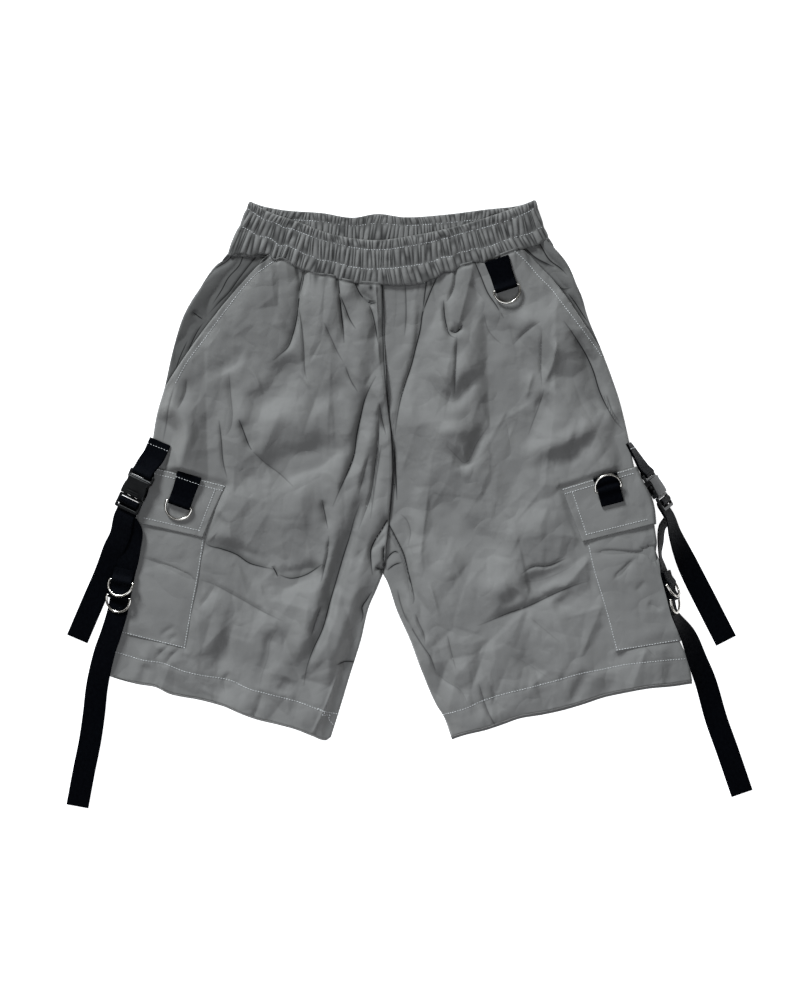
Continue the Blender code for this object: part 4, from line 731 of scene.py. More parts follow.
class Field:
    """The height of CAD nodes' upper side over the plan, smoothed, and carried on beyond their edges."""

    CELL = 3.0
    LOW = np.array([-400.0, -360.0])
    SHAPE = (268, 241)
    SPREADS = 14  # how many times it is carried on, and how far each time
    SPREAD = 3.0
    OVERHEAD = 90  # higher than any node

    def __init__(self, names, radius=5.0):
        points, faces = [], []
        for name in names:
            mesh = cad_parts[name].data
            start = len(points)
            points += [vertex.co / MM for vertex in mesh.vertices]
            faces += [[start + i for i in polygon.vertices] for polygon in mesh.polygons]
        tree = BVHTree.FromPolygons(points, faces)
        value = np.zeros(self.SHAPE)
        known = np.zeros(self.SHAPE)
        low, high = np.min(points, axis=0), np.max(points, axis=0)
        for i in range(self.SHAPE[0]):
            x = self.LOW[0] + i * self.CELL
            if not low[0] <= x <= high[0]:
                continue
            for j in range(self.SHAPE[1]):
                y = self.LOW[1] + j * self.CELL
                if low[1] <= y <= high[1]:
                    hit = tree.ray_cast(Vector((x, y, self.OVERHEAD)), Vector((0, 0, -1)))[0]
                    if hit:
                        value[i, j], known[i, j] = hit.z, 1
        smooth, weight = self.blur(value * known, radius), self.blur(known, radius)
        value = np.where(known > 0, smooth / np.maximum(weight, 1e-6), 0)
        for _ in range(self.SPREADS):
            weight = self.blur(known, self.SPREAD)
            spread = self.blur(value * known, self.SPREAD) / np.maximum(weight, 1e-9)
            new = (known == 0) & (weight > 1e-3)
            value[new] = spread[new]
            known[new] = 1
        self.value = value

    def blur(self, values, radius):
        reach = int(math.ceil(2.5 * radius / self.CELL))
        weights = np.exp(-0.5 * (np.arange(-reach, reach + 1) * self.CELL / radius) ** 2)
        for axis in (0, 1):
            values = sum(w * np.roll(values, k - reach, axis) for k, w in enumerate(weights))
        return values / weights.sum() ** 2

    def at(self, spots):
        place = (spots - self.LOW) / self.CELL
        cell = np.clip(np.floor(place).astype(int), 0, np.array(self.SHAPE) - 2)
        fx, fy = np.clip(place - cell, 0, 1).T
        i, j = cell.T
        v = self.value
        low = v[i, j] * (1 - fx) + v[i + 1, j] * fx
        high = v[i, j + 1] * (1 - fx) + v[i + 1, j + 1] * fx
        return low * (1 - fy) + high * fy


@cache
def field(*names, radius=5.0):
    return Field(names, radius)


# ---------------------------------------------------------------- folds


def crease_shares(crease, spots, reach):
    """Which spots are this near a crease, their signed distance from it, and how far it has tapered there."""
    line = smooth_line(crease.line, 6 * len(crease.line))
    near = ((spots > line.min(0) - reach) & (spots < line.max(0) + reach)).all(1)
    if not near.any():
        return near, np.zeros(0), np.zeros(0)
    signed, share = line_distance(line, spots[near])
    start = 1.0 if crease.open == FROM_EDGE else smoothstep(share / START_TAPER)
    end = 1.0 if crease.open == TO_EDGE else smoothstep((1 - share) / END_TAPER)
    return near, signed, start * end


def crease_height(creases, spots):
    """What these creases add to the cloth's height at each spot."""
    total = np.zeros(len(spots))
    for crease in creases:
        near, signed, taper = crease_shares(crease, spots, 3.2 * max(crease.right, crease.left))
        away = (np.hypot(signed, FOLD_RADIUS) - FOLD_RADIUS) / np.where(signed > 0, crease.left, crease.right)
        power = SOFT_POWER if min(crease.right, crease.left) > SOFT_FROM else SHARP_POWER
        total[near] -= crease.depth * np.exp(-(away**power)) * taper
    return total


def crease_painted_shade(creases, spots, kept=1.0):
    """The shade painted along the creases at each spot, from 0 to 1, wider on their right hand, and their
    painted dark lines: each spot's signed distance from the nearest one and how dark it is there. The
    distance runs straight from point to point, so a line is drawn much finer than the mesh's cells."""
    soft_shade, first, second = np.zeros(len(spots)), np.full(len(spots), FAR), np.full(len(spots), FAR)
    distance, strength = np.full(len(spots), LINE_REACH), np.zeros(len(spots))
    for crease in creases:
        if crease.pinch:
            width = 1.1 + 0.3 * crease.right
            near, signed, taper = crease_shares(crease, spots, 3 * width)
            side = np.where(signed > 0, 1.0, width)
            soft_shade[near] = np.maximum(soft_shade[near], 0.48 * crease.pinch * taper * np.exp(-((signed / side) ** 2)))
            away = np.full(len(spots), FAR)
            away[near] = np.where(taper > 0.02, np.abs(signed), FAR)
            nearer = away < first
            second = np.where(nearer, first, np.minimum(second, away))
            first = np.minimum(first, away)
            new = nearer[near]
            rows = np.flatnonzero(near)[new]
            distance[rows] = signed[new]
            strength[rows] = min(1.0, 1.15 * crease.pinch) * np.sqrt(taper[new])
    strength *= smoothstep((LINE_REACH - first) / 1.2) * smoothstep((second - first) / 1.4) * kept
    return soft_shade * kept, np.stack([np.clip(distance, -LINE_REACH, LINE_REACH), strength, 0 * soft_shade], axis=1)


# Painted shade round those spots, from 0 to 1.
def spot_painted_shade(spots):
    away = np.min([np.linalg.norm((spots - shade_spot) / (2.4, 3.4), axis=1) for shade_spot in PAINTED_SHADE_SPOTS], axis=0)
    return np.exp(-(away**2))


def swell_height(swells, spots):
    total = np.zeros(len(spots))
    for x, y, length, width, turn, height in swells:
        dx, dy = spots[:, 0] - x, spots[:, 1] - y
        turn = math.radians(turn)
        along = dx * math.cos(turn) + dy * math.sin(turn)
        across = dy * math.cos(turn) - dx * math.sin(turn)
        total += height * np.exp(-((along / length) ** 2) - (across / width) ** 2)
    return total


# Stray kinks of a front, and of a facing: how many, their least and greatest radius, and their slope.
KINKS = [(16, 26, 58, 0.06), (70, 9, 24, 0.09), (90, 5, 11, 0.1)]
FACING_KINKS = [(26, 8, 18, 0.12)]
# Facets that the cloth has been pressed into: their size and slope, larger and smaller ones.
FACETS = [(62, 0.28), (30, 0.19), (15, 0.06)]
FACET_STRETCH = 1.5  # how much longer they are down the leg than across it


def facet_height(spots, low, high, facets, seed):
    """Shallow pyramids with straight edges between them, up or down at random."""
    rng = np.random.default_rng(seed)
    total = np.zeros(len(spots))
    scale = np.array([1.0, 1 / FACET_STRETCH])
    for size, slope in facets:
        count = int((high - low).prod() / FACET_STRETCH / size**2) + 3
        peaks = rng.uniform(low, high, (count, 2)) * scale
        steep = slope * rng.uniform(-1, 1, count)
        for part in np.array_split(np.arange(len(spots)), 40):
            away = np.linalg.norm(spots[part][:, None] * scale - peaks[None], axis=2)
            nearest = away.argmin(1)
            rows = np.arange(len(part))
            first = away[rows, nearest]
            away[rows, nearest] = np.inf
            total[part] += steep[nearest] * (away.min(1) - first)
    return total


def kink_height(spots, low, high, kinks, seed):
    """Stray kinks: short straight folds, each fading out round its middle."""
    rng = np.random.default_rng(seed)
    total = np.zeros(len(spots))
    for count, least, greatest, slope in kinks:
        for _ in range(count):
            middle = rng.uniform(low, high)
            radius = rng.uniform(least, greatest)
            turn = rng.normal(0, 0.9)
            steep = slope * rng.uniform(-1, 1)
            away = spots - middle
            near = (np.abs(away) < 2.2 * radius).all(1)
            dx, dy = away[near].T
            off = np.abs(dx * math.cos(turn) + dy * math.sin(turn))
            along = dx * math.sin(turn) - dy * math.cos(turn)
            total[near] += steep * off * np.exp(-((off / (0.45 * radius)) ** 2) - (along / radius) ** 2)
    return total


def pocket_corners(side, pocket):
    """Inner and outer corners of a pocket piece: the top ones, then the bottom ones."""
    inner = np.asarray(pocket.inner, float)
    outer = side_line(side, pocket.top_level, pocket.low_level, 2)
    return inner[0], outer[0], inner[-1], outer[-1]


def inside_pocket(side, pocket, spots):
    """Each spot's distance from a pocket piece's nearest edge, its outer one left out, positive inside."""
    top_in, top_out, low_in, low_out = pocket_corners(side, pocket)
    out = OUTWARD[side]
    inside = line_distance(pocket.inner, spots)[0] * out
    for start, end, way in ((top_in, top_out, -out), (low_in, low_out, out)):
        along = (end - start) / np.linalg.norm(end - start)
        away = spots - start
        inside = np.minimum(inside, way * (along[0] * away[:, 1] - along[1] * away[:, 0]))
    return inside


def covered(side, spots):
    """How far the pockets cover the front at each spot, from 0 to 1, so that no fold comes through them."""
    inside = np.maximum(*[inside_pocket(side, pocket, spots) for pocket in (BAGS[side], FLAPS[side])])
    return smoothstep((inside + 8) / 11)


def under_webbing(side, spots):
    """How near each spot is to the waist loop or the side tab, from 0 to 1: there the cloth lies flat."""
    loop, tab = LOOPS["waist_loop"], TABS[side]
    lines = [
        [(loop.sewn_x, loop.sewn_y), (loop.end_x, loop.end_y - 16)],
        [(tab[0].x, tab[0].y + 7), (tab[1].x, tab[1].y)],
    ]
    away = np.min([np.abs(line_distance(np.array(line), spots)[0]) for line in lines], axis=0)
    return smoothstep((34 - away) / 21)


# ---------------------------------------------------------------- meshes


def add_object(name, data):
    obj = bpy.data.objects.new(name, data)
    bpy.context.scene.collection.objects.link(obj)
    return obj


def add_piece(name, points, faces, material, uv=None, pinch=None, lines=None):
    """A mesh object from points in mm and arrays of faces, one for each count of corners, turned outwards."""
    volume = 0
    for group in faces:
        corners = points[group]
        for k in range(1, group.shape[1] - 1):
            volume += np.einsum("ij,ij->", corners[:, 0], np.cross(corners[:, k], corners[:, k + 1]))
    if volume < 0:
        faces = [group[:, ::-1] for group in faces]
    loops = np.concatenate([group.ravel() for group in faces])
    sizes = np.concatenate([np.full(len(group), group.shape[1]) for group in faces])
    mesh = bpy.data.meshes.new(name)
    mesh.vertices.add(len(points))
    mesh.vertices.foreach_set("co", (points * MM).ravel())
    mesh.loops.add(len(loops))
    mesh.loops.foreach_set("vertex_index", loops)
    mesh.polygons.add(len(sizes))
    mesh.polygons.foreach_set("loop_start", np.cumsum(sizes) - sizes)
    mesh.polygons.foreach_set("use_smooth", np.full(len(sizes), True))
    mesh.update(calc_edges=True)
    mesh.validate()
    if uv is not None:
        layer = mesh.uv_layers.new(name="run")
        layer.data.foreach_set("uv", (uv[loops] * MM).ravel())
    # Painted shade and the creases' painted dark lines, as point attributes that the cloth's material reads.
    if pinch is not None:
        mesh.attributes.new("pinch", "FLOAT", "POINT").data.foreach_set("value", pinch)
    if lines is not None:
        mesh.attributes.new("painted_crease_line", "FLOAT_VECTOR", "POINT").data.foreach_set("vector", lines.ravel())
    mesh.materials.append(material)
    return add_object(name, mesh)


def rim_of(ids):
    return np.concatenate([ids[0, :-1], ids[:-1, -1], ids[-1, :0:-1], ids[:0:-1, 0]])


def grid_quads(ids):
    return np.stack([ids[:-1, :-1], ids[:-1, 1:], ids[1:, 1:], ids[1:, :-1]], axis=2).reshape(-1, 4)


def wall_faces(rows, columns, step):
    """Faces of a closed wall between a grid of points and one below it that has every step-th of them."""
    upper = np.arange(rows * columns).reshape(rows, columns)
    count = (rows - 1) // step + 1, (columns - 1) // step + 1
    lower = rows * columns + np.arange(count[0] * count[1]).reshape(count)
    rim, low_rim = rim_of(upper).reshape(-1, step), rim_of(lower)
    sides = [rim[:, 0], low_rim, np.roll(low_rim, -1), np.roll(rim[:, 0], -1)]
    sides += [rim[:, k] for k in range(step - 1, 0, -1)]
    return [np.concatenate([grid_quads(upper), grid_quads(lower)[:, ::-1]]), np.stack(sides, axis=1)]


def ring_quads(rows, columns):
    """Faces of a grid that closes on itself both ways."""
    ids = np.arange(rows * columns).reshape(rows, columns)
    right, down = np.roll(ids, -1, 1), np.roll(ids, -1, 0)
    return [np.stack([ids, right, np.roll(down, -1, 1), down], axis=2).reshape(-1, 4)]


def grid_normals(grid):
    """Unit normals of a grid of points, upward at its first corner."""
    normals = np.cross(np.gradient(grid, axis=0), np.gradient(grid, axis=1))
    normals *= np.sign(normals[0, 0, 2])
    return normals / np.linalg.norm(normals, axis=2, keepdims=True)


def add_wall(name, grid, above, below, material, uv=None, step=1, pinch=None, lines=None):
    """A closed wall round a grid of points, this far above and below it along its normals. Its underside
    takes every step-th point."""
    normals = grid_normals(grid)
    above, below = (np.broadcast_to(size, grid.shape[:2])[..., None] for size in (above, below))
    under = (grid - normals * below)[::step, ::step]
    points = np.concatenate([(grid + normals * above).reshape(-1, 3), under.reshape(-1, 3)])
    if uv is not None:
        uv = np.concatenate([uv.reshape(-1, 2), uv[::step, ::step].reshape(-1, 2)])
    if pinch is not None:
        pinch = np.concatenate([pinch.ravel(), np.zeros(under.size // 3)])
    if lines is not None:
        lines = np.concatenate([lines.reshape(-1, 3), np.zeros((under.size // 3, 3))])
    return add_piece(name, points, wall_faces(*grid.shape[:2], step), material, uv, pinch, lines)


def stand_in(piece, body, nodes):
    """Rides a piece on a body and lets it stand for these CAD nodes."""
    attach(piece, body)
    if nodes:
        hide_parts(*nodes)


def lay(piece, nodes, slot, flat, area, held, rests_on=()):
    """Rides a cloth piece on the shorts, in place of its solids. The size of its cut is not used."""
    stand_in(piece, "shorts", nodes)
    list(rests_on)


# ---------------------------------------------------------------- materials


def srgb(colour):
    """A linear colour from a hex string or from three sRGB values."""
    if isinstance(colour, str):
        colour = [int(colour[k : k + 2], 16) / 255 for k in (1, 3, 5)]
    linear = [c / 12.92 if c <= 0.04045 else ((c + 0.055) / 1.055) ** 2.4 for c in colour]
    return (*linear, 1.0)


def add_node(tree, kind, values=None, links=None, **attributes):
    """A node with its attributes, its sockets' values and the outputs that feed its sockets."""
    node = tree.nodes.new(kind)
    for key, value in attributes.items():
        setattr(node, key, value)
    for socket, value in (values or {}).items():
        node.inputs[socket].default_value = value
    for socket, output in (links or {}).items():
        tree.links.new(output, node.inputs[socket])
    return node


def material_named(name):
    """Turns a function that fills a node tree, and returns its shader's values and links, into one that gives
    the material of this name, which is made once."""

    def wrap(fill):
        def get():
            found = bpy.data.materials.get(name)
            if not found:
                found = bpy.data.materials.new(name)
                found.use_nodes = True
                tree = found.node_tree
                tree.nodes.clear()
                shader = add_node(tree, "ShaderNodeBsdfPrincipled", *fill(tree))
                add_node(tree, "ShaderNodeOutputMaterial", links={"Surface": shader.outputs["BSDF"]})
            return found

        return get

    return wrap


def drifting_tone(tree, place, size, dark, light, **noise):
    """A colour that drifts between two tones, in patches of about this size in m, and the drift by itself."""
    drift = add_node(tree, "ShaderNodeTexNoise", {"Scale": 1 / size, **noise}, {"Vector": place})
    ramp = add_node(tree, "ShaderNodeValToRGB", links={"Fac": drift.outputs["Fac"]})
    for element, share, colour in zip(ramp.color_ramp.elements, (0.3, 0.7), (dark, light)):
        element.position = share
        element.color = srgb(colour)
    return ramp.outputs["Color"], drift.outputs["Fac"]


@material_named("coated polyester taffeta, satin")
def coated_polyester(tree):
    """Smooth polyester taffeta, thinly coated: grey, with a low wide sheen, tones that drift a little, and
    painted shade.
    """
    colour = settings().cloth.colour
    place = add_node(tree, "ShaderNodeTexCoord").outputs["Object"]
    dark, light = [c * 0.955 for c in colour], [c * 1.045 for c in colour]
    tone, drift = drifting_tone(tree, place, 0.075, dark, light, Detail=3.0, Roughness=0.55)
    # Painted shade: the piece's own attributes darken the cloth where shade falls in its creases, gathers and
    # pocket mouths, and draw the creases' dark lines finer than the mesh's cells.
    pinch = add_node(tree, "ShaderNodeAttribute", attribute_name="pinch")
    fold = add_node(tree, "ShaderNodeAttribute", attribute_name="painted_crease_line")
    fold = add_node(tree, "ShaderNodeSeparateXYZ", links={"Vector": fold.outputs["Vector"]})
    off = add_node(tree, "ShaderNodeMath", links={0: fold.outputs["X"]}, operation="ABSOLUTE")
    drawn = add_node(
        tree, "ShaderNodeMapRange", {"From Min": 0.3, "From Max": 1.15, "To Min": 1.0, "To Max": 0.0},
        {"Value": off.outputs["Value"]}, interpolation_type="SMOOTHSTEP",
    )
    line = add_node(
        tree, "ShaderNodeMath", links={0: drawn.outputs["Result"], 1: fold.outputs["Y"]}, operation="MULTIPLY"
    )
    painted_fold_shade = add_node(
        tree, "ShaderNodeMath", links={0: pinch.outputs["Fac"], 1: line.outputs["Value"]}, operation="MAXIMUM"
    )
    # The painted shade's colour: the cloth's own, at 13 per cent.
    base = add_node(
        tree, "ShaderNodeMix", {"B": srgb([c * 0.13 for c in colour])},
        {"Factor": painted_fold_shade.outputs["Value"], "A": tone}, data_type="RGBA",
    )
    # Threads are 0.15 mm apart: drawn at 0.9 mm, the finest that shows.
    grain = add_node(
        tree, "ShaderNodeTexNoise", {"Scale": 1 / 0.0009, "Detail": 2.0, "Roughness": 0.6}, {"Vector": place}
    )
    bump = add_node(
        tree, "ShaderNodeBump", {"Strength": 0.12, "Distance": 0.0003}, {"Height": grain.outputs["Fac"]}
    )
    # Crumples too small for the mesh: wandering ridges about 45 mm apart, and then facets about 30 and 11 mm
    # wide that are pressed up or down between sharp edges, which hardly bend.
    wander = add_node(
        tree, "ShaderNodeTexNoise", {"Scale": 1 / 0.045, "Detail": 1.5, "Roughness": 0.45}, {"Vector": place}
    )
    middle = add_node(tree, "ShaderNodeMath", {1: 0.5}, {0: wander.outputs["Fac"]}, operation="SUBTRACT")
    ridge = add_node(tree, "ShaderNodeMath", links={0: middle.outputs["Value"]}, operation="ABSOLUTE")
    bump = add_node(
        tree, "ShaderNodeBump", {"Strength": 1.0, "Distance": 0.006},
        {"Height": ridge.outputs["Value"], "Normal": bump.outputs["Normal"]},
    )
    bend = add_node(tree, "ShaderNodeTexNoise", {"Scale": 1 / 0.05, "Detail": 2.0}, {"Vector": place})
    bent = add_node(
        tree, "ShaderNodeMix", {"Factor": 0.012}, {"A": place, "B": bend.outputs["Color"]}, data_type="VECTOR"
    )
    for size, height in ((0.03, 0.0052), (0.011, 0.0016)):
        place_in, scale = {"Vector": bent.outputs["Result"]}, {"Scale": 1 / size}
        edge = add_node(tree, "ShaderNodeTexVoronoi", scale, place_in, feature="DISTANCE_TO_EDGE")
        cell = add_node(tree, "ShaderNodeTexVoronoi", scale, place_in)
        either = add_node(tree, "ShaderNodeMath", {1: 0.5}, {0: cell.outputs["Color"]}, operation="SUBTRACT")
        facet = add_node(
            tree, "ShaderNodeMath", links={0: edge.outputs["Distance"], 1: either.outputs["Value"]},
            operation="MULTIPLY",
        )
        bump = add_node(
            tree, "ShaderNodeBump", {"Strength": 1.0, "Distance": height},
            {"Height": facet.outputs["Value"], "Normal": bump.outputs["Normal"]},
        )
    rough = add_node(tree, "ShaderNodeMapRange", {"To Min": 0.62, "To Max": 0.74}, {"Value": drift})
    values = {"IOR": 1.5, "Specular IOR Level": 0.25, "Sheen Weight": 0.1, "Sheen Roughness": 0.4}
    links = {"Base Color": base.outputs["Result"], "Roughness": rough.outputs["Result"]}
    return values, {**links, "Normal": bump.outputs["Normal"]}


WAVE = 0.314  # the period of the wave texture at scale 1, in m


@material_named("woven polyester webbing, black")
def webbing_material(tree):
    """Woven polyester webbing, dyed black: matt, with fine ribs across it that catch a bluish light."""
    run = add_node(tree, "ShaderNodeUVMap", uv_map="run").outputs["UV"]
    rib = settings().hardware.rib * MM
    ribs = add_node(
        tree, "ShaderNodeTexWave", {"Scale": WAVE / rib, "Distortion": 0.0}, {"Vector": run},
        bands_direction="X",
    )
    warp = add_node(
        tree, "ShaderNodeTexWave", {"Scale": WAVE / (0.8 * rib), "Distortion": 0.0}, {"Vector": run},
        bands_direction="Y",
    )
    both = add_node(
        tree, "ShaderNodeMath", links={0: ribs.outputs["Fac"], 1: warp.outputs["Fac"]}, operation="MULTIPLY"
    )
    bump = add_node(
        tree, "ShaderNodeBump", {"Strength": 0.6, "Distance": 0.0003}, {"Height": both.outputs["Value"]}
    )
    base, _ = drifting_tone(tree, run, 0.004, "#010102", "#040507", Detail=3.0)
    values = {"Roughness": 0.55, "IOR": 1.5, "Specular IOR Level": 0.035, "Specular Tint": srgb("#b4bfe0")}
    return values, {"Base Color": base, "Normal": bump.outputs["Normal"]}


@material_named("moulded acetal, black satin")
def acetal_material(tree):
    """Injection-moulded acetal, black: satin, with the fine spark-eroded grain of its mould."""
    place = add_node(tree, "ShaderNodeTexCoord").outputs["Object"]
    # The grain is under 0.1 mm: drawn at 0.6 mm, so that it shows.
    grain = add_node(tree, "ShaderNodeTexNoise", {"Scale": 1 / 0.0006, "Detail": 2.0}, {"Vector": place})
    bump = add_node(
        tree, "ShaderNodeBump", {"Strength": 0.15, "Distance": 0.0002}, {"Height": grain.outputs["Fac"]}
    )
    base, wear = drifting_tone(tree, place, 0.012, "#040405", "#08090a", Detail=3.0)
    rough = add_node(tree, "ShaderNodeMapRange", {"To Min": 0.32, "To Max": 0.46}, {"Value": wear})
    links = {"Base Color": base, "Roughness": rough.outputs["Result"], "Normal": bump.outputs["Normal"]}
    return {"IOR": 1.48, "Specular IOR Level": 0.22}, links


@material_named("nickel-plated steel wire, bright")
def nickel_material(tree):
    """Steel wire, bent, tumbled and nickel plated: bright, slightly warm, with faint handling marks."""
    place = add_node(tree, "ShaderNodeTexCoord").outputs["Object"]
    base, marks = drifting_tone(tree, place, 0.003, "#b9b5ae", "#d6d2ca", Detail=4.0)
    rough = add_node(tree, "ShaderNodeMapRange", {"To Min": 0.14, "To Max": 0.3}, {"Value": marks})
    return {"Metallic": 1.0}, {"Base Color": base, "Roughness": rough.outputs["Result"]}


@material_named("spun polyester thread, pale grey")
def thread_material(tree):
    """Spun polyester sewing thread, pale grey: matt and slightly hairy."""
    place = add_node(tree, "ShaderNodeTexCoord").outputs["Object"]
    base, _ = drifting_tone(tree, place, 0.0015, "#c4c6c6", "#e6e8e8", Detail=2.0)
    return {"Roughness": 0.8, "IOR": 1.5, "Sheen Weight": 0.2}, {"Base Color": base}


@material_named("opal acrylic, lit from below")
def acrylic_material(tree):
    """A light table of opal acrylic: even and white, so that what lies on it hardly throws a shadow."""
    place = add_node(tree, "ShaderNodeTexCoord").outputs["Object"]
    base, _ = drifting_tone(tree, place, 0.02, "#fafafa", "#fdfdfd", Detail=3.0)
    values = {"Roughness": 0.9, "Specular IOR Level": 0.1, "Emission Strength": settings().stage.glow}
    return values, {"Base Color": base, "Emission Color": base}


# ---------------------------------------------------------------- cloth panels


FRONT_LIFT = 2.4  # of the folded cloth over the plain form, in its middle
OVER_BACK = 0.8  # the least height of a cloth's upper side over the back's
SEAM_HALF = 0.35  # half the distance between front and back at a side seam or an inseam
SEAM_RADIUS, HEM_RADIUS, MOUTH_RADIUS = 3.2, 1.8, 2.0  # within which the cloth is turned down to its edges
WAIST_LEVEL = 4.5  # where the front panels go under the band
FRONT_SIZE, BACK_SIZE, FACING_SIZE = (255, 500), (255, 520), (60, 160)  # about, for their meshes
FACING_DARK = {"left": 0.46, "right": 0.24}  # how much of a facing lies in the shade of its pocket's mouth


def raised(plan, height):
    """A grid of plan points, at these heights."""
    return np.concatenate([plan, height.reshape(*plan.shape[:2], 1)], axis=2)


def mid_height(side, spots):
    """Where the front and back meet along a folded edge."""
    front = field(f"front_{side}", f"pocket_facing_{side}").at(spots)
    back = field(f"back_{side}").at(spots)
    return 0.5 * (front + back) - 0.6


def front_height(side, spots):
    """The upper side of a front panel."""
    cloth = settings().cloth
    base = field(f"front_{side}").at(spots)
    folds = crease_height(FRONT_CREASES[side], spots) + swell_height(FRONT_SWELLS[side], spots)
    folds = folds * cloth.fold_depth + FRONT_LIFT
    box = front_box(side)
    folds += cloth.crumple * kink_height(spots, *box, KINKS, seed=11)
    folds += cloth.crumple * facet_height(spots, *box, FACETS, seed=31)
    folds *= (1 - covered(side, spots)) * (1 - under_webbing(side, spots))
    hem = np.abs(line_distance(HEM_STITCH[side], spots)[0])
    mouth = np.abs(line_distance(MOUTH_STITCH[side], spots)[0])
    folds -= 0.4 * np.exp(-((hem / 2.2) ** 2)) + 0.25 * np.exp(-((mouth / 2.2) ** 2))
    edge = np.minimum(away_from(FRONT_SIDE[side], spots), away_from(FRONT_INSEAM[side], spots))
    near_edge = smoothstep(edge / 16)
    floor = field(f"back_{side}").at(spots) + OVER_BACK
    clear = base + folds * (0.25 + 0.75 * near_edge) - floor
    height = floor + 0.5 * (clear + np.hypot(clear, 1.5))
    middle = mid_height(side, spots) + SEAM_HALF
    height = middle + (height - middle) * rounded(edge, SEAM_RADIUS)
    height = floor + (height - floor) * rounded(away_from(FRONT_HEM[side], spots), HEM_RADIUS)
    mouth_edge = away_from(FRONT_MOUTH[side], spots, 40)
    facing = field(f"pocket_facing_{side}", radius=3.0).at(spots) + 0.5
    rising = facing + (height - facing) * rounded(mouth_edge, MOUTH_RADIUS)
    height = np.where(mouth_edge < MOUTH_RADIUS, rising, height)
    height -= 1.5 * np.exp(-((away_from(CENTRE_SEAM, spots) / 1.6) ** 1.4))
    waist = away_from(WAIST_SEAM, spots, 120)
    height = WAIST_LEVEL + (height - WAIST_LEVEL) * rounded(waist, 5.0)
    height += 0.45 * tucks(*HEM_TUCKS[side], spots, hem)
    return height + tucks(*WAIST_TUCKS[side], spots, waist) * smoothstep(waist / 1.5)


def tucks(first, last, seed, spots, away):
    """Small tucks that run from a seam, from -1 in the valleys to 0.5, between two x positions."""
    rng = np.random.default_rng(seed)
    total = np.zeros(len(spots))
    x = first
    while x < last:
        length = rng.uniform(4, 20)
        width = rng.uniform(1.4, 3.6)
        lean = rng.uniform(-0.3, 0.3)
        across = (spots[:, 0] - x - lean * away) / width
        total += rng.uniform(-1, 0.5) * np.exp(-(across**2) - (away / length) ** 1.5)
        x += rng.uniform(5, 14)
    return total


def front_painted_shade(side, spots):
    """The shade painted on a front panel at each spot: along its creases, round the shade spots, in the waist
    tucks and along the waist and centre seams; and its creases' painted dark lines.
    """
    waist = away_from(WAIST_SEAM, spots, 120)
    centre, along = line_distance(smooth_line(CENTRE_SEAM, 60), spots)
    found, lines = crease_painted_shade(FRONT_CREASES[side], spots, 1 - covered(side, spots))
    found = np.maximum(found, spot_painted_shade(spots))
    found = np.maximum(found, np.clip(-tucks(*WAIST_TUCKS[side], spots, waist), 0, 0.6))
    found = np.maximum(found, 0.55 * np.exp(-((waist / 1.4) ** 2)))
    # A painted dark line along the centre seam, with painted shade beside it, fading out near the seam's end.
    shown = smoothstep((0.86 - along) / 0.1)
    seam = np.abs(centre) < np.minimum(np.abs(lines[:, 0]), LINE_REACH)
    lines[seam, 0] = centre[seam]
    lines[seam, 1] = 0.9 * shown[seam]
    return np.maximum(found, 0.4 * np.exp(-((centre / 1.6) ** 2)) * shown), lines


def front_box(side):
    """The lowest and highest corner of a front panel's outline."""
    points = np.concatenate([CENTRE_SEAM, FRONT_SIDE[side], FRONT_HEM[side], FRONT_MOUTH[side]])
    return points.min(axis=0), points.max(axis=0)


def waist_part(first, last, under=2.5):
    """The panels' top edge between two x positions, in their order, a little way under the band."""
    line = smooth_line(WAIST_SEAM, 400)
    xs = np.linspace(first, last, 60)
    return np.stack([xs, np.interp(xs, line[:, 0], line[:, 1]) + under], axis=1)


CELL_ACROSS, CELL_DOWN = 1.7, 2.35  # narrower across the leg, because most folds run down it


def counts(width, height, cell):
    """How many columns and rows of points a panel of this size has: odd numbers."""
    return 2 * int(width / cell / CELL_ACROSS) + 1, 2 * int(height / cell / CELL_DOWN) + 1


class SHORTS_OT_front_panels(bpy.types.Operator):
    """Makes the two front panels, with their creases, centre seam, inseams and hems"""

    bl_idname = "shorts.front_panels"
    bl_label = "Front panels"

    def execute(self, context):
        cloth = settings().cloth
        for side in SIDES:
            mouth = FRONT_MOUTH[side]
            top = waist_part(CENTRE_SEAM[0][0], mouth[0][0])
            inner = [join_lines(top[:1], CENTRE_SEAM[1:]), FRONT_INSEAM[side]]
            outer = [join_lines(top[-1:], mouth[1:]), FRONT_SIDE[side]]
            plan = grid_patch(top, outer, FRONT_HEM[side], inner, *counts(*FRONT_SIZE, cloth.cell))
            spots = plan.reshape(-1, 2)
            pinch, lines = front_painted_shade(side, spots)
            piece = add_wall(
                f"front_panel_{side}", raised(plan, front_height(side, spots)), 0, cloth.thickness,
                coated_polyester(), step=2, pinch=pinch, lines=lines,
            )
            lay(piece, [f"front_{side}"], "cloth", *FRONT_CUT[side], "laid", [f"back_panel_{side}"])
        return {"FINISHED"}


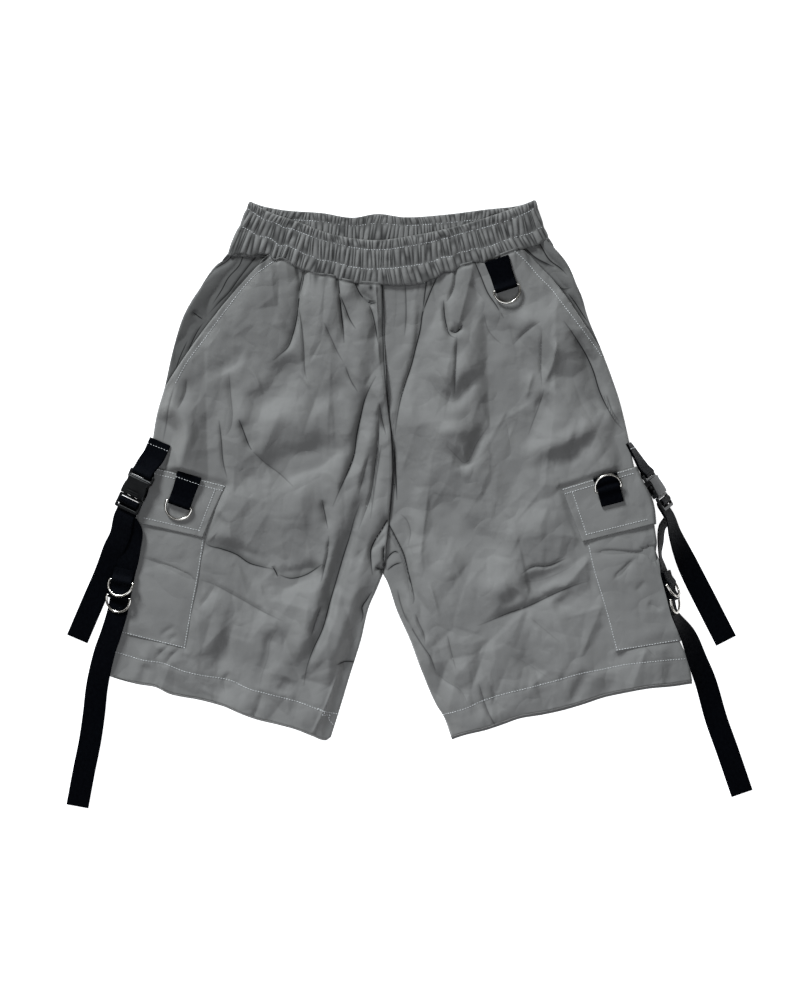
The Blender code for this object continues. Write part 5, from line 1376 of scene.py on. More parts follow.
class SHORTS_OT_back_panels(bpy.types.Operator):
    """Makes the two back panels, which lie on the floor"""

    bl_idname = "shorts.back_panels"
    bl_label = "Back panels"

    def execute(self, context):
        cloth = settings().cloth
        for side in SIDES:
            hem = np.asarray(FRONT_HEM[side], float) - [0, HEM_PEEK[side]]
            inseam = np.concatenate([FRONT_INSEAM[side][:-1], hem[:1]])
            sides = join_lines(HIP_SIDE[side], FRONT_SIDE[side][1:])
            sides[-1] = hem[-1]
            size = counts(*BACK_SIZE, 2.4 * cloth.cell)
            plan = grid_patch(BACK_WAIST[side], [sides], hem, [BACK_RISE, inseam], *size)
            spots = plan.reshape(-1, 2)
            edge = np.minimum(away_from(sides, spots, 90), away_from(inseam, spots))
            under = np.maximum(field(f"back_{side}").at(spots) - 1.2, 0)
            middle = mid_height(side, spots) - SEAM_HALF
            outside = middle - (middle - under) * rounded(edge, SEAM_RADIUS)
            outside += 0.3 * np.exp(-((away_from(BACK_RISE, spots) / 1.5) ** 2))
            grid = raised(plan, outside)
            piece = add_wall(f"back_panel_{side}", grid, cloth.thickness, 0, coated_polyester())
            lay(piece, [f"back_{side}"], "cloth", *BACK_CUT[side], "laid")
        return {"FINISHED"}


class SHORTS_OT_pocket_facings(bpy.types.Operator):
    """Makes the facings that show in the slant pockets' mouths"""

    bl_idname = "shorts.pocket_facings"
    bl_label = "Pocket facings"

    def execute(self, context):
        cloth = settings().cloth
        for side in SIDES:
            outer = HIP_SIDE[side]
            top = waist_part(FACING_TOP[side][0][0], outer[0][0])
            inner = join_lines(top[:1], FACING_INNER[side][1:])
            size = counts(*FACING_SIZE, 1.1 * cloth.cell)
            plan = grid_patch(top, [join_lines(top[-1:], outer[1:])], [inner[-1], outer[-1]], [inner], *size)
            spots = plan.reshape(-1, 2)
            edge = away_from(outer, spots)
            folds = crease_height(FACING_CREASES[side], spots) * cloth.fold_depth
            folds += 4.0 * smoothstep(1 - edge / 26) - 1.0
            folds += kink_height(spots, spots.min(0), spots.max(0), FACING_KINKS, seed=3)
            height = field(f"pocket_facing_{side}", radius=3.0).at(spots)
            height += folds * smoothstep((away_from(inner, spots) - 4) / 8)
            height = np.maximum(height, field(f"back_{side}").at(spots) + OVER_BACK)
            middle = mid_height(side, spots) + SEAM_HALF
            height = middle + (height - middle) * rounded(edge, 3.0)
            # Painted shade: along the facing's creases, deep in the pocket's mouth, and over the whole
            # facing.
            pinch, lines = crease_painted_shade(FACING_CREASES[side], spots)
            mouth = away_from(FRONT_MOUTH[side], spots, 40)
            pinch = np.maximum(pinch, 0.75 * np.exp(-((mouth / 3.2) ** 2)))
            pinch = np.maximum(pinch, FACING_DARK[side])
            piece = add_wall(
                f"pocket_facing_cloth_{side}", raised(plan, height), 0, cloth.thickness,
                coated_polyester(), pinch=pinch, lines=lines,
            )
            lay(piece, [f"pocket_facing_{side}"], "cloth", *FACING_CUT[side], "laid", [f"back_panel_{side}"])
        return {"FINISHED"}


# ---------------------------------------------------------------- waistband


def band_half(stations, count):
    """Top edge, seam and stitch shares at even steps along one half of the band."""
    table = np.asarray(stations, float)
    line = smooth_line(table, count)
    return line[:, :2], line[:, 2:4], line[:, 4:]


def ruffles(along, across, total, pitch, seed):
    """Gathers of one channel, from 0 in the valleys to 1, at distances along it and shares across it."""
    rng = np.random.default_rng(seed)
    count = int(total / pitch)
    steps = rng.uniform(0.35, 1.9, count)
    valleys = np.concatenate([[0], np.cumsum(steps)]) * total / steps.sum()
    strength = rng.uniform(0.25, 1.0, count) * np.clip(steps, 0.5, 1.3)
    peak, drop = rng.uniform(0, 1, count), rng.uniform(0.1, 1.9, count)
    lean_at = np.linspace(0, total, int(total / 22) + 2)
    lean = np.interp(along, lean_at, rng.uniform(-1, 1, len(lean_at)))
    wander_at = np.linspace(0, total, int(total / 6) + 2)
    wander = np.interp(along, wander_at, rng.uniform(-0.6, 0.6, len(wander_at)))
    place = (along + (4.6 * lean + 2.6 * wander) * (across - 0.5)) % total
    k = np.clip(np.searchsorted(valleys, place, side="right") - 1, 0, count - 1)
    share = (place - valleys[k]) / (valleys[k + 1] - valleys[k])
    fade = np.clip(1 - drop[k] * np.abs(across - peak[k]), 0.15, 1)
    return strength[k] * fade * np.clip(np.sin(math.pi * share), 0, 1)


class Band:
    """The waistband's surface: read at stations round the waist and shares of its width."""

    FOLD_STEPS = 16
    END_COLUMNS = 60  # those that are drawn in at each side, to make room for its half turn

    def __init__(self):
        columns = settings().waistband.columns
        top_f, seam_f, stitch_f = band_half(BAND_FRONT, columns)
        line = smooth_line(WAIST_SEAM, 400)
        inside = (seam_f[:, 0] > line[0, 0]) & (seam_f[:, 0] < line[-1, 0])
        seam_f[inside, 1] = np.interp(seam_f[inside, 0], line[:, 0], line[:, 1])
        seam_along = seam_f[:, 0] - seam_f[0, 0]
        seam_f[:, 1] -= 1.3 * ruffles(seam_along, np.zeros(columns), total=400, pitch=9.0, seed=61)
        top_b, seam_b, stitch_b = band_half(BAND_BACK, columns)
        top_b, seam_b, stitch_b = top_b[::-1], seam_b[::-1], stitch_b[::-1]
        radius = (BAND_FRONT_Z - BAND_BACK_Z) / 2
        middle = (BAND_FRONT_Z + BAND_BACK_Z) / 2
        inset = radius + 1.4
        place = np.arange(columns)
        for top, seam, way in ((top_f, seam_f, 1), (top_b, seam_b, -1)):
            for from_end, inward in ((place, way), (place[::-1], -way)):
                drawn = inward * inset * np.clip(1 - from_end / self.END_COLUMNS, 0, 1) ** 2
                top[:, 0] += drawn
                seam[:, 0] += drawn
        parts = [self.flat(top_f, seam_f, stitch_f, BAND_FRONT_Z, 1)]
        parts.append(self.fold(top_f[-1], seam_f[-1], stitch_f[-1], radius, middle, 0))
        parts.append(self.flat(top_b, seam_b, stitch_b, BAND_BACK_Z, -1))
        parts.append(self.fold(top_b[-1], seam_b[-1], stitch_b[-1], radius, middle, math.pi))
        self.top, self.seam, self.normal, self.stitch = (np.concatenate(part) for part in zip(*parts))
        centre = (self.top + self.seam) / 2
        steps = np.linalg.norm(np.diff(centre, axis=0, append=centre[:1]), axis=1)
        self.along = np.concatenate([[0], np.cumsum(steps)[:-1]])
        self.total = steps.sum()
        self.front = slice(0, columns)
        self.back = slice(columns + self.FOLD_STEPS, 2 * columns + self.FOLD_STEPS)

    @staticmethod
    def flat(top, seam, stitch, z, way):
        heights = np.full((len(top), 1), z)
        normals = np.tile([0.0, 0.0, float(way)], (len(top), 1))
        drop = BAND_SEAM_DROP if way > 0 else 0
        return np.hstack([top, heights]), np.hstack([seam, heights - drop]), normals, stitch

    def fold(self, top, seam, stitch, radius, middle, start):
        """The half turn at a side, from the front to the back or from the back to the front."""
        edge = (top - seam) / np.linalg.norm(top - seam)
        out = np.array([edge[1], -edge[0]]) * (1 if start == 0 else -1)
        angles = start + np.linspace(0, math.pi, self.FOLD_STEPS + 2)[1:-1]
        turn = np.abs(np.sin(angles))[:, None]
        up = np.cos(angles)[:, None]
        tops = np.hstack([top + out * radius * turn, middle + radius * up])
        drops = BAND_SEAM_DROP * np.clip(up, 0, 1)
        seams = np.hstack([seam + out * radius * turn, middle + radius * up - drops])
        return tops, seams, np.hstack([out * turn, up]), np.tile(stitch, (self.FOLD_STEPS, 1))

    def thickness(self, shares, face):
        """Distance of the outer (face 0) or inner (face 1) side from the band's middle, and the shade painted
        in its gathers' valleys."""
        band = settings().waistband
        total = np.zeros((len(self.top), len(shares)))
        pinch = np.zeros_like(total)
        along, share = self.along[:, None], shares[None, :]
        ends = np.zeros((len(self.top), 1))
        bounds = [ends, self.stitch[:, :1], self.stitch[:, 1:], ends + 1]
        for channel in range(len(BAND_PITCHES)):
            low, high = bounds[channel], bounds[channel + 1]
            inside = (share >= low) & (share <= high)
            across = np.clip((share - low) / (high - low), 0, 1)
            full = np.sqrt(np.clip(4 * across * (1 - across), 0, 1))
            pitch = band.pitch * BAND_PITCHES[channel]
            ripple = ruffles(along + 0 * across, across, self.total, pitch, 20 + channel + 5 * face)
            height = 0.75 + 0.55 * full + band.height * ripple * (0.28 + 0.72 * full)
            total = np.where(inside, height, total)
            # Painted shade, darkest in the gathers' valleys.
            gather_shade = 0.02 + 0.94 * np.clip(1 - 2.6 * ripple, 0, 1) ** 1.3 * (0.3 + 0.7 * full)
            pinch = np.where(inside, gather_shade, pinch)
        upward = (self.normal[:, 2:] + 1) / 2
        most = BAND_MOST[face][0] * upward + BAND_MOST[face][1] * (1 - upward)
        return np.minimum(total, most) * rounded(np.minimum(share, 1 - share) * 50, 1.5), pinch

    def points(self, shares, face):
        """A grid of the outer or inner side, one row a station, and the shade painted on it."""
        base = self.top[:, None] * (1 - shares[None, :, None]) + self.seam[:, None] * shares[None, :, None]
        way = 1 if face == 0 else -1
        thick, pinch = self.thickness(shares, face)
        return base + way * thick[..., None] * self.normal[:, None], pinch


class SHORTS_OT_waistband(bpy.types.Operator):
    """Makes the elastic waistband, gathered in three channels all round"""

    bl_idname = "shorts.waistband"
    bl_label = "Waistband"

    def execute(self, context):
        band = Band()
        shares = np.concatenate([[0, 0.008, 0.02], np.linspace(0.05, 0.95, 22), [0.98, 0.992, 1]])
        (outer, gather_shade), (inner, inner_gather_shade) = band.points(shares, 0), band.points(shares[::-1][1:-1], 1)
        loop = np.concatenate([outer, inner], axis=1)
        pinch = np.concatenate([gather_shade, inner_gather_shade], axis=1).ravel()
        rows, columns = loop.shape[:2]
        faces = ring_quads(rows, columns)
        piece = add_piece("waistband", loop.reshape(-1, 3), faces, coated_polyester(), pinch=pinch)
        lay(piece, ["waistband_front", "waistband_back"], "cloth", WAISTBAND_CUT, None, "gathered")
        return {"FINISHED"}


# ---------------------------------------------------------------- cargo pockets


TURN_STEPS = 14  # of a half turn of cloth or webbing
BAG_THICK, FLAP_THICK = 0.84, 1.0  # the flap's cloth is doubled


def side_line(side, high, low, count):
    """The side seam between two heights."""
    line = smooth_line(join_lines(HIP_SIDE[side], FRONT_SIDE[side][1:]), 600)
    order = np.argsort(line[:, 1])
    ys = np.linspace(high, low, count)
    return np.stack([np.interp(ys, line[order, 1], line[order, 0]), ys], axis=1)


def pocket_height(side, pocket, creases, spots):
    """The upper side of a pocket piece on the front. It rises over its lap from the cloth under its sewn
    edges, and is drawn in along its stitches."""
    height = field(f"{pocket.kind}_{side}", radius=3.0).at(spots)
    height += crease_height(creases, spots) * settings().cloth.fold_depth
    away = np.abs(line_distance(pocket.inner, spots)[0])
    if pocket.lap:
        under = field(f"front_{side}").at(spots) + 0.7
        height = under + (height - under) * smoothstep(inside_pocket(side, pocket, spots) / pocket.lap)
    return height - pocket.depth * np.exp(-(((away - pocket.inset) / 1.3) ** 2))


def wrapped_grid(side, pocket, creases, columns, rows):
    """A pocket piece from its inner edge, over the front, round the side seam and under the back."""
    inner = smooth_line(pocket.inner, rows)
    outer = side_line(side, pocket.top_level, pocket.low_level, rows)
    u = np.linspace(0, 1, columns)
    front = inner[:, None] + (outer - inner)[:, None] * u[None, :, None]
    seen = inner[:, None] + (outer - inner)[:, None] * np.minimum(u, 0.93)[None, :, None]
    top = pocket_height(side, pocket, creases, seen.reshape(-1, 2)).reshape(rows, columns)
    down = np.gradient(outer, axis=0)
    out = np.stack([down[:, 1], -down[:, 0]], axis=1)
    out *= np.sign((out * (outer - inner)).sum(1, keepdims=True)) / np.linalg.norm(out, axis=1, keepdims=True)
    radius = (top[:, -1] - pocket.wrap_z) / 2
    middle = (top[:, -1] + pocket.wrap_z) / 2
    turn = []
    for angle in np.linspace(0, math.pi, TURN_STEPS)[1:-1]:
        spot = outer + out * (radius * math.sin(angle))[:, None]
        turn.append(np.column_stack([spot, middle + radius * math.cos(angle)]))
    back = front[:, ::-4]
    back = raised(back, np.full(back.shape[:2], pocket.wrap_z))
    return np.concatenate([raised(front, top), np.stack(turn, axis=1), back], axis=1)


def edge_thickness(shape, full, steps=2):
    """A wall thickness that is drawn in at the edges of a grid, so that they look turned and pressed."""
    rows, columns = shape
    down = np.minimum(np.arange(rows), np.arange(rows)[::-1])
    across = np.minimum(np.arange(columns), np.arange(columns)[::-1])
    return full * rounded(np.minimum(down[:, None], across[None]) + 0.6, steps)


class SHORTS_OT_cargo_pockets(bpy.types.Operator):
    """Makes the cargo pockets: bags and flaps that wrap round the side seams"""

    bl_idname = "shorts.cargo_pockets"
    bl_label = "Cargo pockets"

    def execute(self, context):
        for side in SIDES:
            grid = wrapped_grid(side, BAGS[side], BAG_CREASES[side], columns=60, rows=110)
            seen = grid[..., 2].ravel() > BAGS[side].wrap_z + 1
            # Painted shade along the bag's creases, where it shows.
            pinch, lines = crease_painted_shade(BAG_CREASES[side], grid[..., :2].reshape(-1, 2), seen)
            thick = edge_thickness(grid.shape[:2], BAG_THICK)
            name = f"cargo_pocket_bag_{side}"
            bag = add_wall(name, grid, 0.0, thick, coated_polyester(), pinch=pinch, lines=lines)
            lay(bag, [f"cargo_bag_{side}"], "cloth", BAG_CUT, None, "laid", [f"front_panel_{side}"])
            grid = wrapped_grid(side, FLAPS[side], [], columns=50, rows=40)
            thick = edge_thickness(grid.shape[:2], FLAP_THICK)
            flap = add_wall(f"cargo_pocket_flap_{side}", grid, 0.0, thick, coated_polyester())
            lay(flap, [f"cargo_flap_{side}"], "cloth", FLAP_CUT, None, "laid", [name])
        return {"FINISHED"}


# ---------------------------------------------------------------- webbing


def frame_along(centre, down, roll):
    """A webbing's frame: X across it, Y back up it, Z out of its face. A positive roll lifts its -X edge."""
    level = down.cross(Vector((0, 0, 1))).normalized()
    across = Matrix.Rotation(-math.radians(roll), 3, down) @ -level
    placed = Matrix((across, -down, across.cross(-down))).transposed().to_4x4()
    placed.translation = centre
    return placed


def frame_at(x, y, z, direction, roll):
    """The frame of something that lies level and points down this direction in plan."""
    down = Vector((direction[0], direction[1], 0)).normalized()
    return frame_along(Vector((x, y, z)), down, roll)


def run_frames(runs, count):
    """Frames along a smooth run of webbing, with the distance of each from the start."""
    rows = np.array(runs, float)
    line = curve_through(rows, reach_along(rows[:, :2]), count)
    tangents = np.gradient(line[:, :3], axis=0)
    downs = [Vector(tangent).normalized() for tangent in tangents]
    frames = [frame_along(Vector(row[:3]), down, row[3]) for row, down in zip(line, downs)]
    return frames, reach_along(line[:, :3])


def moved(points, placed):
    """Points of a frame, put where it is."""
    matrix = np.array(placed)
    return points @ matrix[:3, :3].T + matrix[:3, 3]


def across_of(placed):
    return placed.to_3x3() @ Vector((1, 0, 0))


# Points across a webbing, as shares of half its width, and its thickness there.
SELVEDGE = np.array([-1, -0.985, -0.95, -0.86, -0.6, -0.3, 0, 0.3, 0.6, 0.86, 0.95, 0.985, 1])
SELVEDGE_THICKNESS = np.array([0.3, 0.62, 0.85, 1, 1, 1, 1, 1, 1, 1, 0.85, 0.62, 0.3])


def add_webbing(name, centres, acrosses, widths):
    """A strip of webbing swept along its middle, with rounded selvedges. Returns it and its length in mm."""
    centres = np.array([tuple(centre) for centre in centres])
    acrosses = np.array([tuple(across) for across in acrosses])
    half = np.asarray(widths, float)[:, None, None] / 2
    grid = centres[:, None] + acrosses[:, None] * half * SELVEDGE[None, :, None]
    along = reach_along(centres)
    uv = np.stack(np.broadcast_arrays(along[:, None], half[:, 0] * SELVEDGE[None]), axis=2)
    thick = np.broadcast_to(SELVEDGE_THICKNESS * WEBBING / 2, grid.shape[:2]).copy()
    thick[[0, -1]] *= 0.8
    return add_wall(name, grid, thick, thick, webbing_material(), uv), along[-1]


def lay_webbing(piece, length, node, width=STRAP_WIDTH):
    lay(piece, [node], "webbing", (width * MM, length * MM), None, "laid" if "strap" in node else "folded")


def hump(distance, bars):
    return max(math.exp(-(((distance - bar) / HUMP_REACH) ** 2)) for bar in bars)


def make_loop(name, frames, distances, bars, widths, bar_ply=None):
    """Webbing folded on itself with bars through it. Its lower ply is straight unless bar_ply is given."""
    upper, lower = [], []
    for placed, distance in zip(frames, distances):
        parted = hump(distance, bars)
        if bar_ply:
            above = PLY + (bar_ply - PLY) * parted
            below = -above
        else:
            above = 2 * PLY - BAR_PLY + 2 * (BAR_PLY - PLY) * parted
            below = -BAR_PLY
        upper.append(placed @ Vector((0, 0, above)))
        lower.append(placed @ Vector((0, 0, below)))
    end = frames[-1].copy()
    end.translation = (upper[-1] + lower[-1]) / 2
    radius = (upper[-1] - lower[-1]).length / 2
    turn = [
        end @ Vector((0, -radius * math.sin(angle), radius * math.cos(angle)))
        for angle in np.linspace(0, math.pi, TURN_STEPS)[1:-1]
    ]
    stations = list(range(len(frames)))
    stations += [stations[-1]] * len(turn) + stations[::-1]
    acrosses = [across_of(frames[i]) for i in stations]
    centres = upper + turn + lower[::-1]
    piece, length = add_webbing(f"webbing_{name}", centres, acrosses, np.asarray(widths)[stations])
    lay_webbing(piece, length, name, float(np.mean(widths)))


def flat_loop_frames(name):
    """Frames of a loop that lies on the cloth, its distances, and the frame of its ring's bar."""
    loop = LOOPS[name]
    sewn = np.array([loop.sewn_x, loop.sewn_y])
    along = np.array([loop.end_x, loop.end_y]) - sewn
    length = np.linalg.norm(along)
    bar = length - loop.bar_above_end
    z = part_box(name)[0].z / MM + WEBBING / 2 + BAR_PLY
    distances = np.linspace(0, length, 40)
    frames = [frame_at(*(sewn + along * distance / length), z, along, 0) for distance in distances]
    return frames, distances, bar, frame_at(*(sewn + along * bar / length), z, along, 0)


class SHORTS_OT_webbing_loops(bpy.types.Operator):
    """Makes the webbing loops at the waist and on the pocket flaps"""

    bl_idname = "shorts.webbing_loops"
    bl_label = "Webbing loops"

    def execute(self, context):
        for name in LOOPS:
            frames, distances, bar, _ = flat_loop_frames(name)
            narrowed = smoothstep(distances / (0.6 * bar))
            widths = LOOP_WIDTH + (LOOP_FOLD_WIDTH - LOOP_WIDTH) * narrowed
            make_loop(name, frames, distances, [bar], widths)
        return {"FINISHED"}


def run_of(placed, y, z, roll):
    return Run(*(placed @ Vector((0, y, z))), roll)


def buckle_frame(side):
    top, direction = BUCKLES[side]
    return frame_at(top.x, top.y, top.z, direction, top.roll)


def tab_runs(side):
    """The way of a side tab, down to the buckle's top bar."""
    roll = BUCKLES[side][0].roll
    return TABS[side] + [run_of(buckle_frame(side), y, 0, roll) for y in (8, TAB_BAR)]


def bar_frames(side):
    """Frames of the upper and lower ring's bars, and the distance between them."""
    bar, direction = RING_BARS[side]
    lower = frame_at(bar.x, bar.y, bar.z, direction, bar.roll)
    spacing = math.hypot(*direction)
    return lower @ Matrix.Translation((0, spacing, 0)), lower, spacing


class SHORTS_OT_side_straps(bpy.types.Operator):
    """Makes the straps at the sides, the tabs that carry them and the loops of the double rings"""

    bl_idname = "shorts.side_straps"
    bl_label = "Side straps"

    def execute(self, context):
        for side in SIDES:
            self.tab(side)
            self.ring_loop(side)
            self.strap(side)
        return {"FINISHED"}

    def tab(self, side):
        frames, distances = run_frames(tab_runs(side), 44)
        widths = [STRAP_WIDTH] * len(frames)
        make_loop(f"side_tab_{side}", frames, distances, [distances[-1]], widths, TAB_PLY)

    def ring_loop(self, side):
        _, lower, spacing = bar_frames(side)
        length = spacing + RING_LOOP_ABOVE
        distances = np.linspace(0, length, 60)
        frames = [lower @ Matrix.Translation((0, length - distance, 0)) for distance in distances]
        bars = [RING_LOOP_ABOVE, length]
        make_loop(f"ring_loop_{side}", frames, distances, bars, [STRAP_WIDTH] * len(frames))

    def strap(self, side):
        buckle, roll = buckle_frame(side), BUCKLES[side][0].roll
        _, lower, spacing = bar_frames(side)
        behind = -BAR_PLY - WEBBING - 2 * GAP
        tail = [run_of(buckle, y, LADDER_WAY[-1][1], roll) for y in LEAVING] + TAILS[side]
        down = [run_of(buckle, y, LADDER_WAY[0][1], roll) for y in LEAVING] + STANDING_RUNS[side]
        ring_roll = RING_BARS[side][0].roll
        down += [run_of(lower, y, behind, ring_roll) for y in (spacing + 12, spacing, 0, -RING_DEPTH)]
        down += LOWER_RUNS[side]
        ladder_line = smooth_line(LADDER_WAY[::-1], 70)
        ladder = [buckle @ Matrix.Translation((0, y, z)) for y, z in ladder_line]
        frames = run_frames(tail, 90)[0][::-1] + ladder + run_frames(down, 220)[0]
        centres = [placed.translation for placed in frames]
        acrosses = [across_of(placed) for placed in frames]
        piece, length = add_webbing(f"webbing_strap_{side}", centres, acrosses, [STRAP_WIDTH] * len(frames))
        lay_webbing(piece, length, f"strap_{side}")


# ---------------------------------------------------------------- rings and buckles


def ring_places():
    """The frame and tilt of each D-ring's bar, by its name."""
    places = {loop.ring: (flat_loop_frames(name)[3], TILTS[loop.tilt]) for name, loop in LOOPS.items()}
    for side in SIDES:
        upper, lower, _ = bar_frames(side)
        places[f"strap_ring_upper_{side}"] = (upper, TILTS["upper"])
        places[f"strap_ring_lower_{side}"] = (lower, TILTS["lower"])
    return places


class SHORTS_OT_rings(bpy.types.Operator):
    """Makes the D-rings of nickel-plated wire"""

    bl_idname = "shorts.rings"
    bl_label = "D-rings"

    SPOKES = 16

    def execute(self, context):
        line = self.centre_line()
        ahead = np.roll(line, -1, 0) - np.roll(line, 1, 0)
        ahead /= np.linalg.norm(ahead, axis=1, keepdims=True)
        outward = np.column_stack([ahead[:, 1], -ahead[:, 0]])
        angles = np.linspace(0, math.tau, self.SPOKES, endpoint=False)
        flat = line[:, None] + outward[:, None] * (np.cos(angles) * WIRE / 2)[None, :, None]
        points = raised(flat, np.broadcast_to(np.sin(angles) * WIRE / 2, flat.shape[:2])).reshape(-1, 3)
        faces = ring_quads(len(line), self.SPOKES)
        for name, (placed, tilt) in ring_places().items():
            tilted = placed @ Matrix.Rotation(-math.radians(tilt), 4, "X")
            ring = add_piece(f"d_{name}", moved(points, tilted), faces, nickel_material())
            stand_in(ring, name, [name])
        return {"FINISHED"}

    def centre_line(self):
        """The wire's middle, in the ring's own plane: the bar, two short legs and the arc."""
        half = (RING_INNER + WIRE) / 2
        angles = np.linspace(0, math.pi, 49)
        arc = np.column_stack([half * np.cos(angles), -RING_LEG - (RING_DEPTH - RING_LEG) * np.sin(angles)])
        bends = np.linspace(0, math.pi / 2, 7)
        bends = np.column_stack([1 - np.cos(bends), np.sin(bends) - 1])
        left = bends * RING_CORNER - [half, 0]
        right = left[::-1] * [-1, 1]
        bar = np.column_stack([np.linspace(left[-1, 0], right[0, 0], 14)[1:-1], np.zeros(12)])
        return np.concatenate([left, bar, right, arc])


class SHORTS_OT_buckles(bpy.types.Operator):
    """Makes the two halves of each side-release buckle, with rounded moulded edges"""

    bl_idname = "shorts.buckles"
    bl_label = "Buckles"

    def execute(self, context):
        for side in SIDES:
            placed = buckle_frame(side)
            self.mould(f"buckle_socket_{side}", SOCKET_OUTLINE, SOCKET_HALF, SOCKET_CUTS, placed, crown=0.16)
            self.mould(f"buckle_plug_{side}", PLUG_OUTLINE, PLUG_HALF, PLUG_CUTS, placed, crown=0.0)
        return {"FINISHED"}

    def mould(self, name, right_half, half, cuts, placed, crown):
        outline = right_half + [(-x, y) for x, y in reversed(right_half)]
        body = self.plate(f"{name}_blank", outline, -half, half)
        cutters = []
        for k, (low, high) in enumerate(cuts):
            corners = [(low[0], low[1]), (high[0], low[1]), (high[0], high[1]), (low[0], high[1])]
            cutter = self.plate(f"{name}_cutter_{k}", corners, low[2], high[2])
            cutters.append(cutter)
            cut = body.modifiers.new(f"cut {k}", "BOOLEAN")
            cut.object = cutter
            cut.operation = "DIFFERENCE"
            cut.solver = "EXACT"
        remesh = body.modifiers.new("mould", "REMESH")
        remesh.mode = "VOXEL"
        remesh.voxel_size = settings().hardware.moulding * MM
        remesh.use_smooth_shade = True
        soften = body.modifiers.new("soften", "SMOOTH")
        soften.iterations = 3
        mesh = bpy.data.meshes.new_from_object(body.evaluated_get(bpy.context.evaluated_depsgraph_get()))
        for helper in [body] + cutters:
            bpy.data.objects.remove(helper, do_unlink=True)
        points = np.empty(len(mesh.vertices) * 3)
        mesh.vertices.foreach_get("co", points)
        points = points.reshape(-1, 3) / MM
        domed = np.clip((points[:, 1] - 1) / (SOCKET_END - 1), 0, 1)
        shape = 1 - crown * (points[:, 0] / 16) ** 2 - 0.5 * crown * (2 * domed - 1) ** 4
        points[:, 2] *= np.where(np.abs(points[:, 2]) > 3.2, shape, 1)
        mesh.vertices.foreach_set("co", (moved(points, placed) * MM).ravel())
        mesh.name = f"moulded_{name}"
        mesh.materials.clear()
        mesh.materials.append(acetal_material())
        mesh.update()
        stand_in(add_object(f"moulded_{name}", mesh), "shorts", [name])

    def plate(self, name, outline, low, high):
        count = len(outline)
        points = [(x * MM, y * MM, z * MM) for z in (low, high) for x, y in outline]
        faces = [tuple(range(count))[::-1], tuple(range(count, 2 * count))]
        faces += [(i, (i + 1) % count, (i + 1) % count + count, i + count) for i in range(count)]
        mesh = bpy.data.meshes.new(name)
        mesh.from_pydata(points, [], faces)
        corners = [Vector(points[i]) for i in faces[0]]
        area = sum(a.x * b.y - b.x * a.y for a, b in zip(corners, corners[1:] + corners[:1]))
        if area > 0:
            mesh.flip_normals()
        return add_object(name, mesh)


# ---------------------------------------------------------------- stitches


def stitch_tree():
    """A geometry node tree that lays stitches along curves."""
    tree = bpy.data.node_groups.new("stitch rows", "GeometryNodeTree")
    interface = tree.interface
    interface.new_socket("Geometry", in_out="INPUT", socket_type="NodeSocketGeometry")
    for name in ("Pitch", "Length", "Thread"):
        interface.new_socket(name, in_out="INPUT", socket_type="NodeSocketFloat")
    interface.new_socket("Material", in_out="INPUT", socket_type="NodeSocketMaterial")
    interface.new_socket("Geometry", in_out="OUTPUT", socket_type="NodeSocketGeometry")
    given = add_node(tree, "NodeGroupInput").outputs
    even = add_node(
        tree, "GeometryNodeResampleCurve", links={"Curve": given["Geometry"], "Length": given["Pitch"]},
        mode="LENGTH",
    )
    tangent = add_node(tree, "GeometryNodeInputTangent")
    turn = add_node(
        tree, "FunctionNodeAlignRotationToVector", links={"Vector": tangent.outputs["Tangent"]}, axis="X"
    )
    size = add_node(
        tree, "ShaderNodeCombineXYZ", links={"X": given["Length"], "Y": given["Thread"], "Z": given["Thread"]}
    )
    vary = add_node(
        tree, "FunctionNodeRandomValue", {"Min": (0.85, 0.85, 0.85), "Max": (1.12, 1.1, 1.1), "Seed": 7},
        data_type="FLOAT_VECTOR",
    )
    scale = add_node(
        tree, "ShaderNodeVectorMath", links={0: size.outputs["Vector"], 1: vary.outputs["Value"]},
        operation="MULTIPLY",
    )
    stitch = add_node(tree, "GeometryNodeMeshUVSphere", {"Segments": 6, "Rings": 4, "Radius": 0.5})
    smooth = add_node(tree, "GeometryNodeSetShadeSmooth", links={"Geometry": stitch.outputs["Mesh"]})
    rows = add_node(
        tree, "GeometryNodeInstanceOnPoints",
        links={"Points": even.outputs["Curve"], "Instance": smooth.outputs["Geometry"],
               "Rotation": turn.outputs["Rotation"], "Scale": scale.outputs["Vector"]},
    )
    real = add_node(tree, "GeometryNodeRealizeInstances", links={"Geometry": rows.outputs["Instances"]})
    made = add_node(
        tree, "GeometryNodeSetMaterial",
        links={"Geometry": real.outputs["Geometry"], "Material": given["Material"]},
    )
    add_node(tree, "NodeGroupOutput", links={"Geometry": made.outputs["Geometry"]})
    return tree


def add_stitches(name, lines, tree):
    """One mesh with a row of stitches along each of these lines of points in mm."""
    stitches = settings().stitches
    curve = bpy.data.curves.new(name, "CURVE")
    curve.dimensions = "3D"
    for line in lines:
        spline = curve.splines.new("POLY")
        spline.points.add(len(line) - 1)
        spline.points.foreach_set("co", np.column_stack([line * MM, np.ones(len(line))]).ravel())
    helper = add_object(name, curve)
    rows = helper.modifiers.new("stitch rows", "NODES")
    rows.node_group = tree
    given = {
        "Pitch": stitches.pitch * MM, "Length": stitches.length * MM, "Thread": stitches.thread * MM,
        "Material": thread_material(),
    }
    for item in tree.interface.items_tree:
        if item.item_type == "SOCKET" and item.in_out == "INPUT" and item.name in given:
            rows[item.identifier] = given[item.name]
    mesh = bpy.data.meshes.new_from_object(helper.evaluated_get(bpy.context.evaluated_depsgraph_get()))
    bpy.data.objects.remove(helper, do_unlink=True)
    mesh.name = name
    stand_in(add_object(name, mesh), "shorts", [])


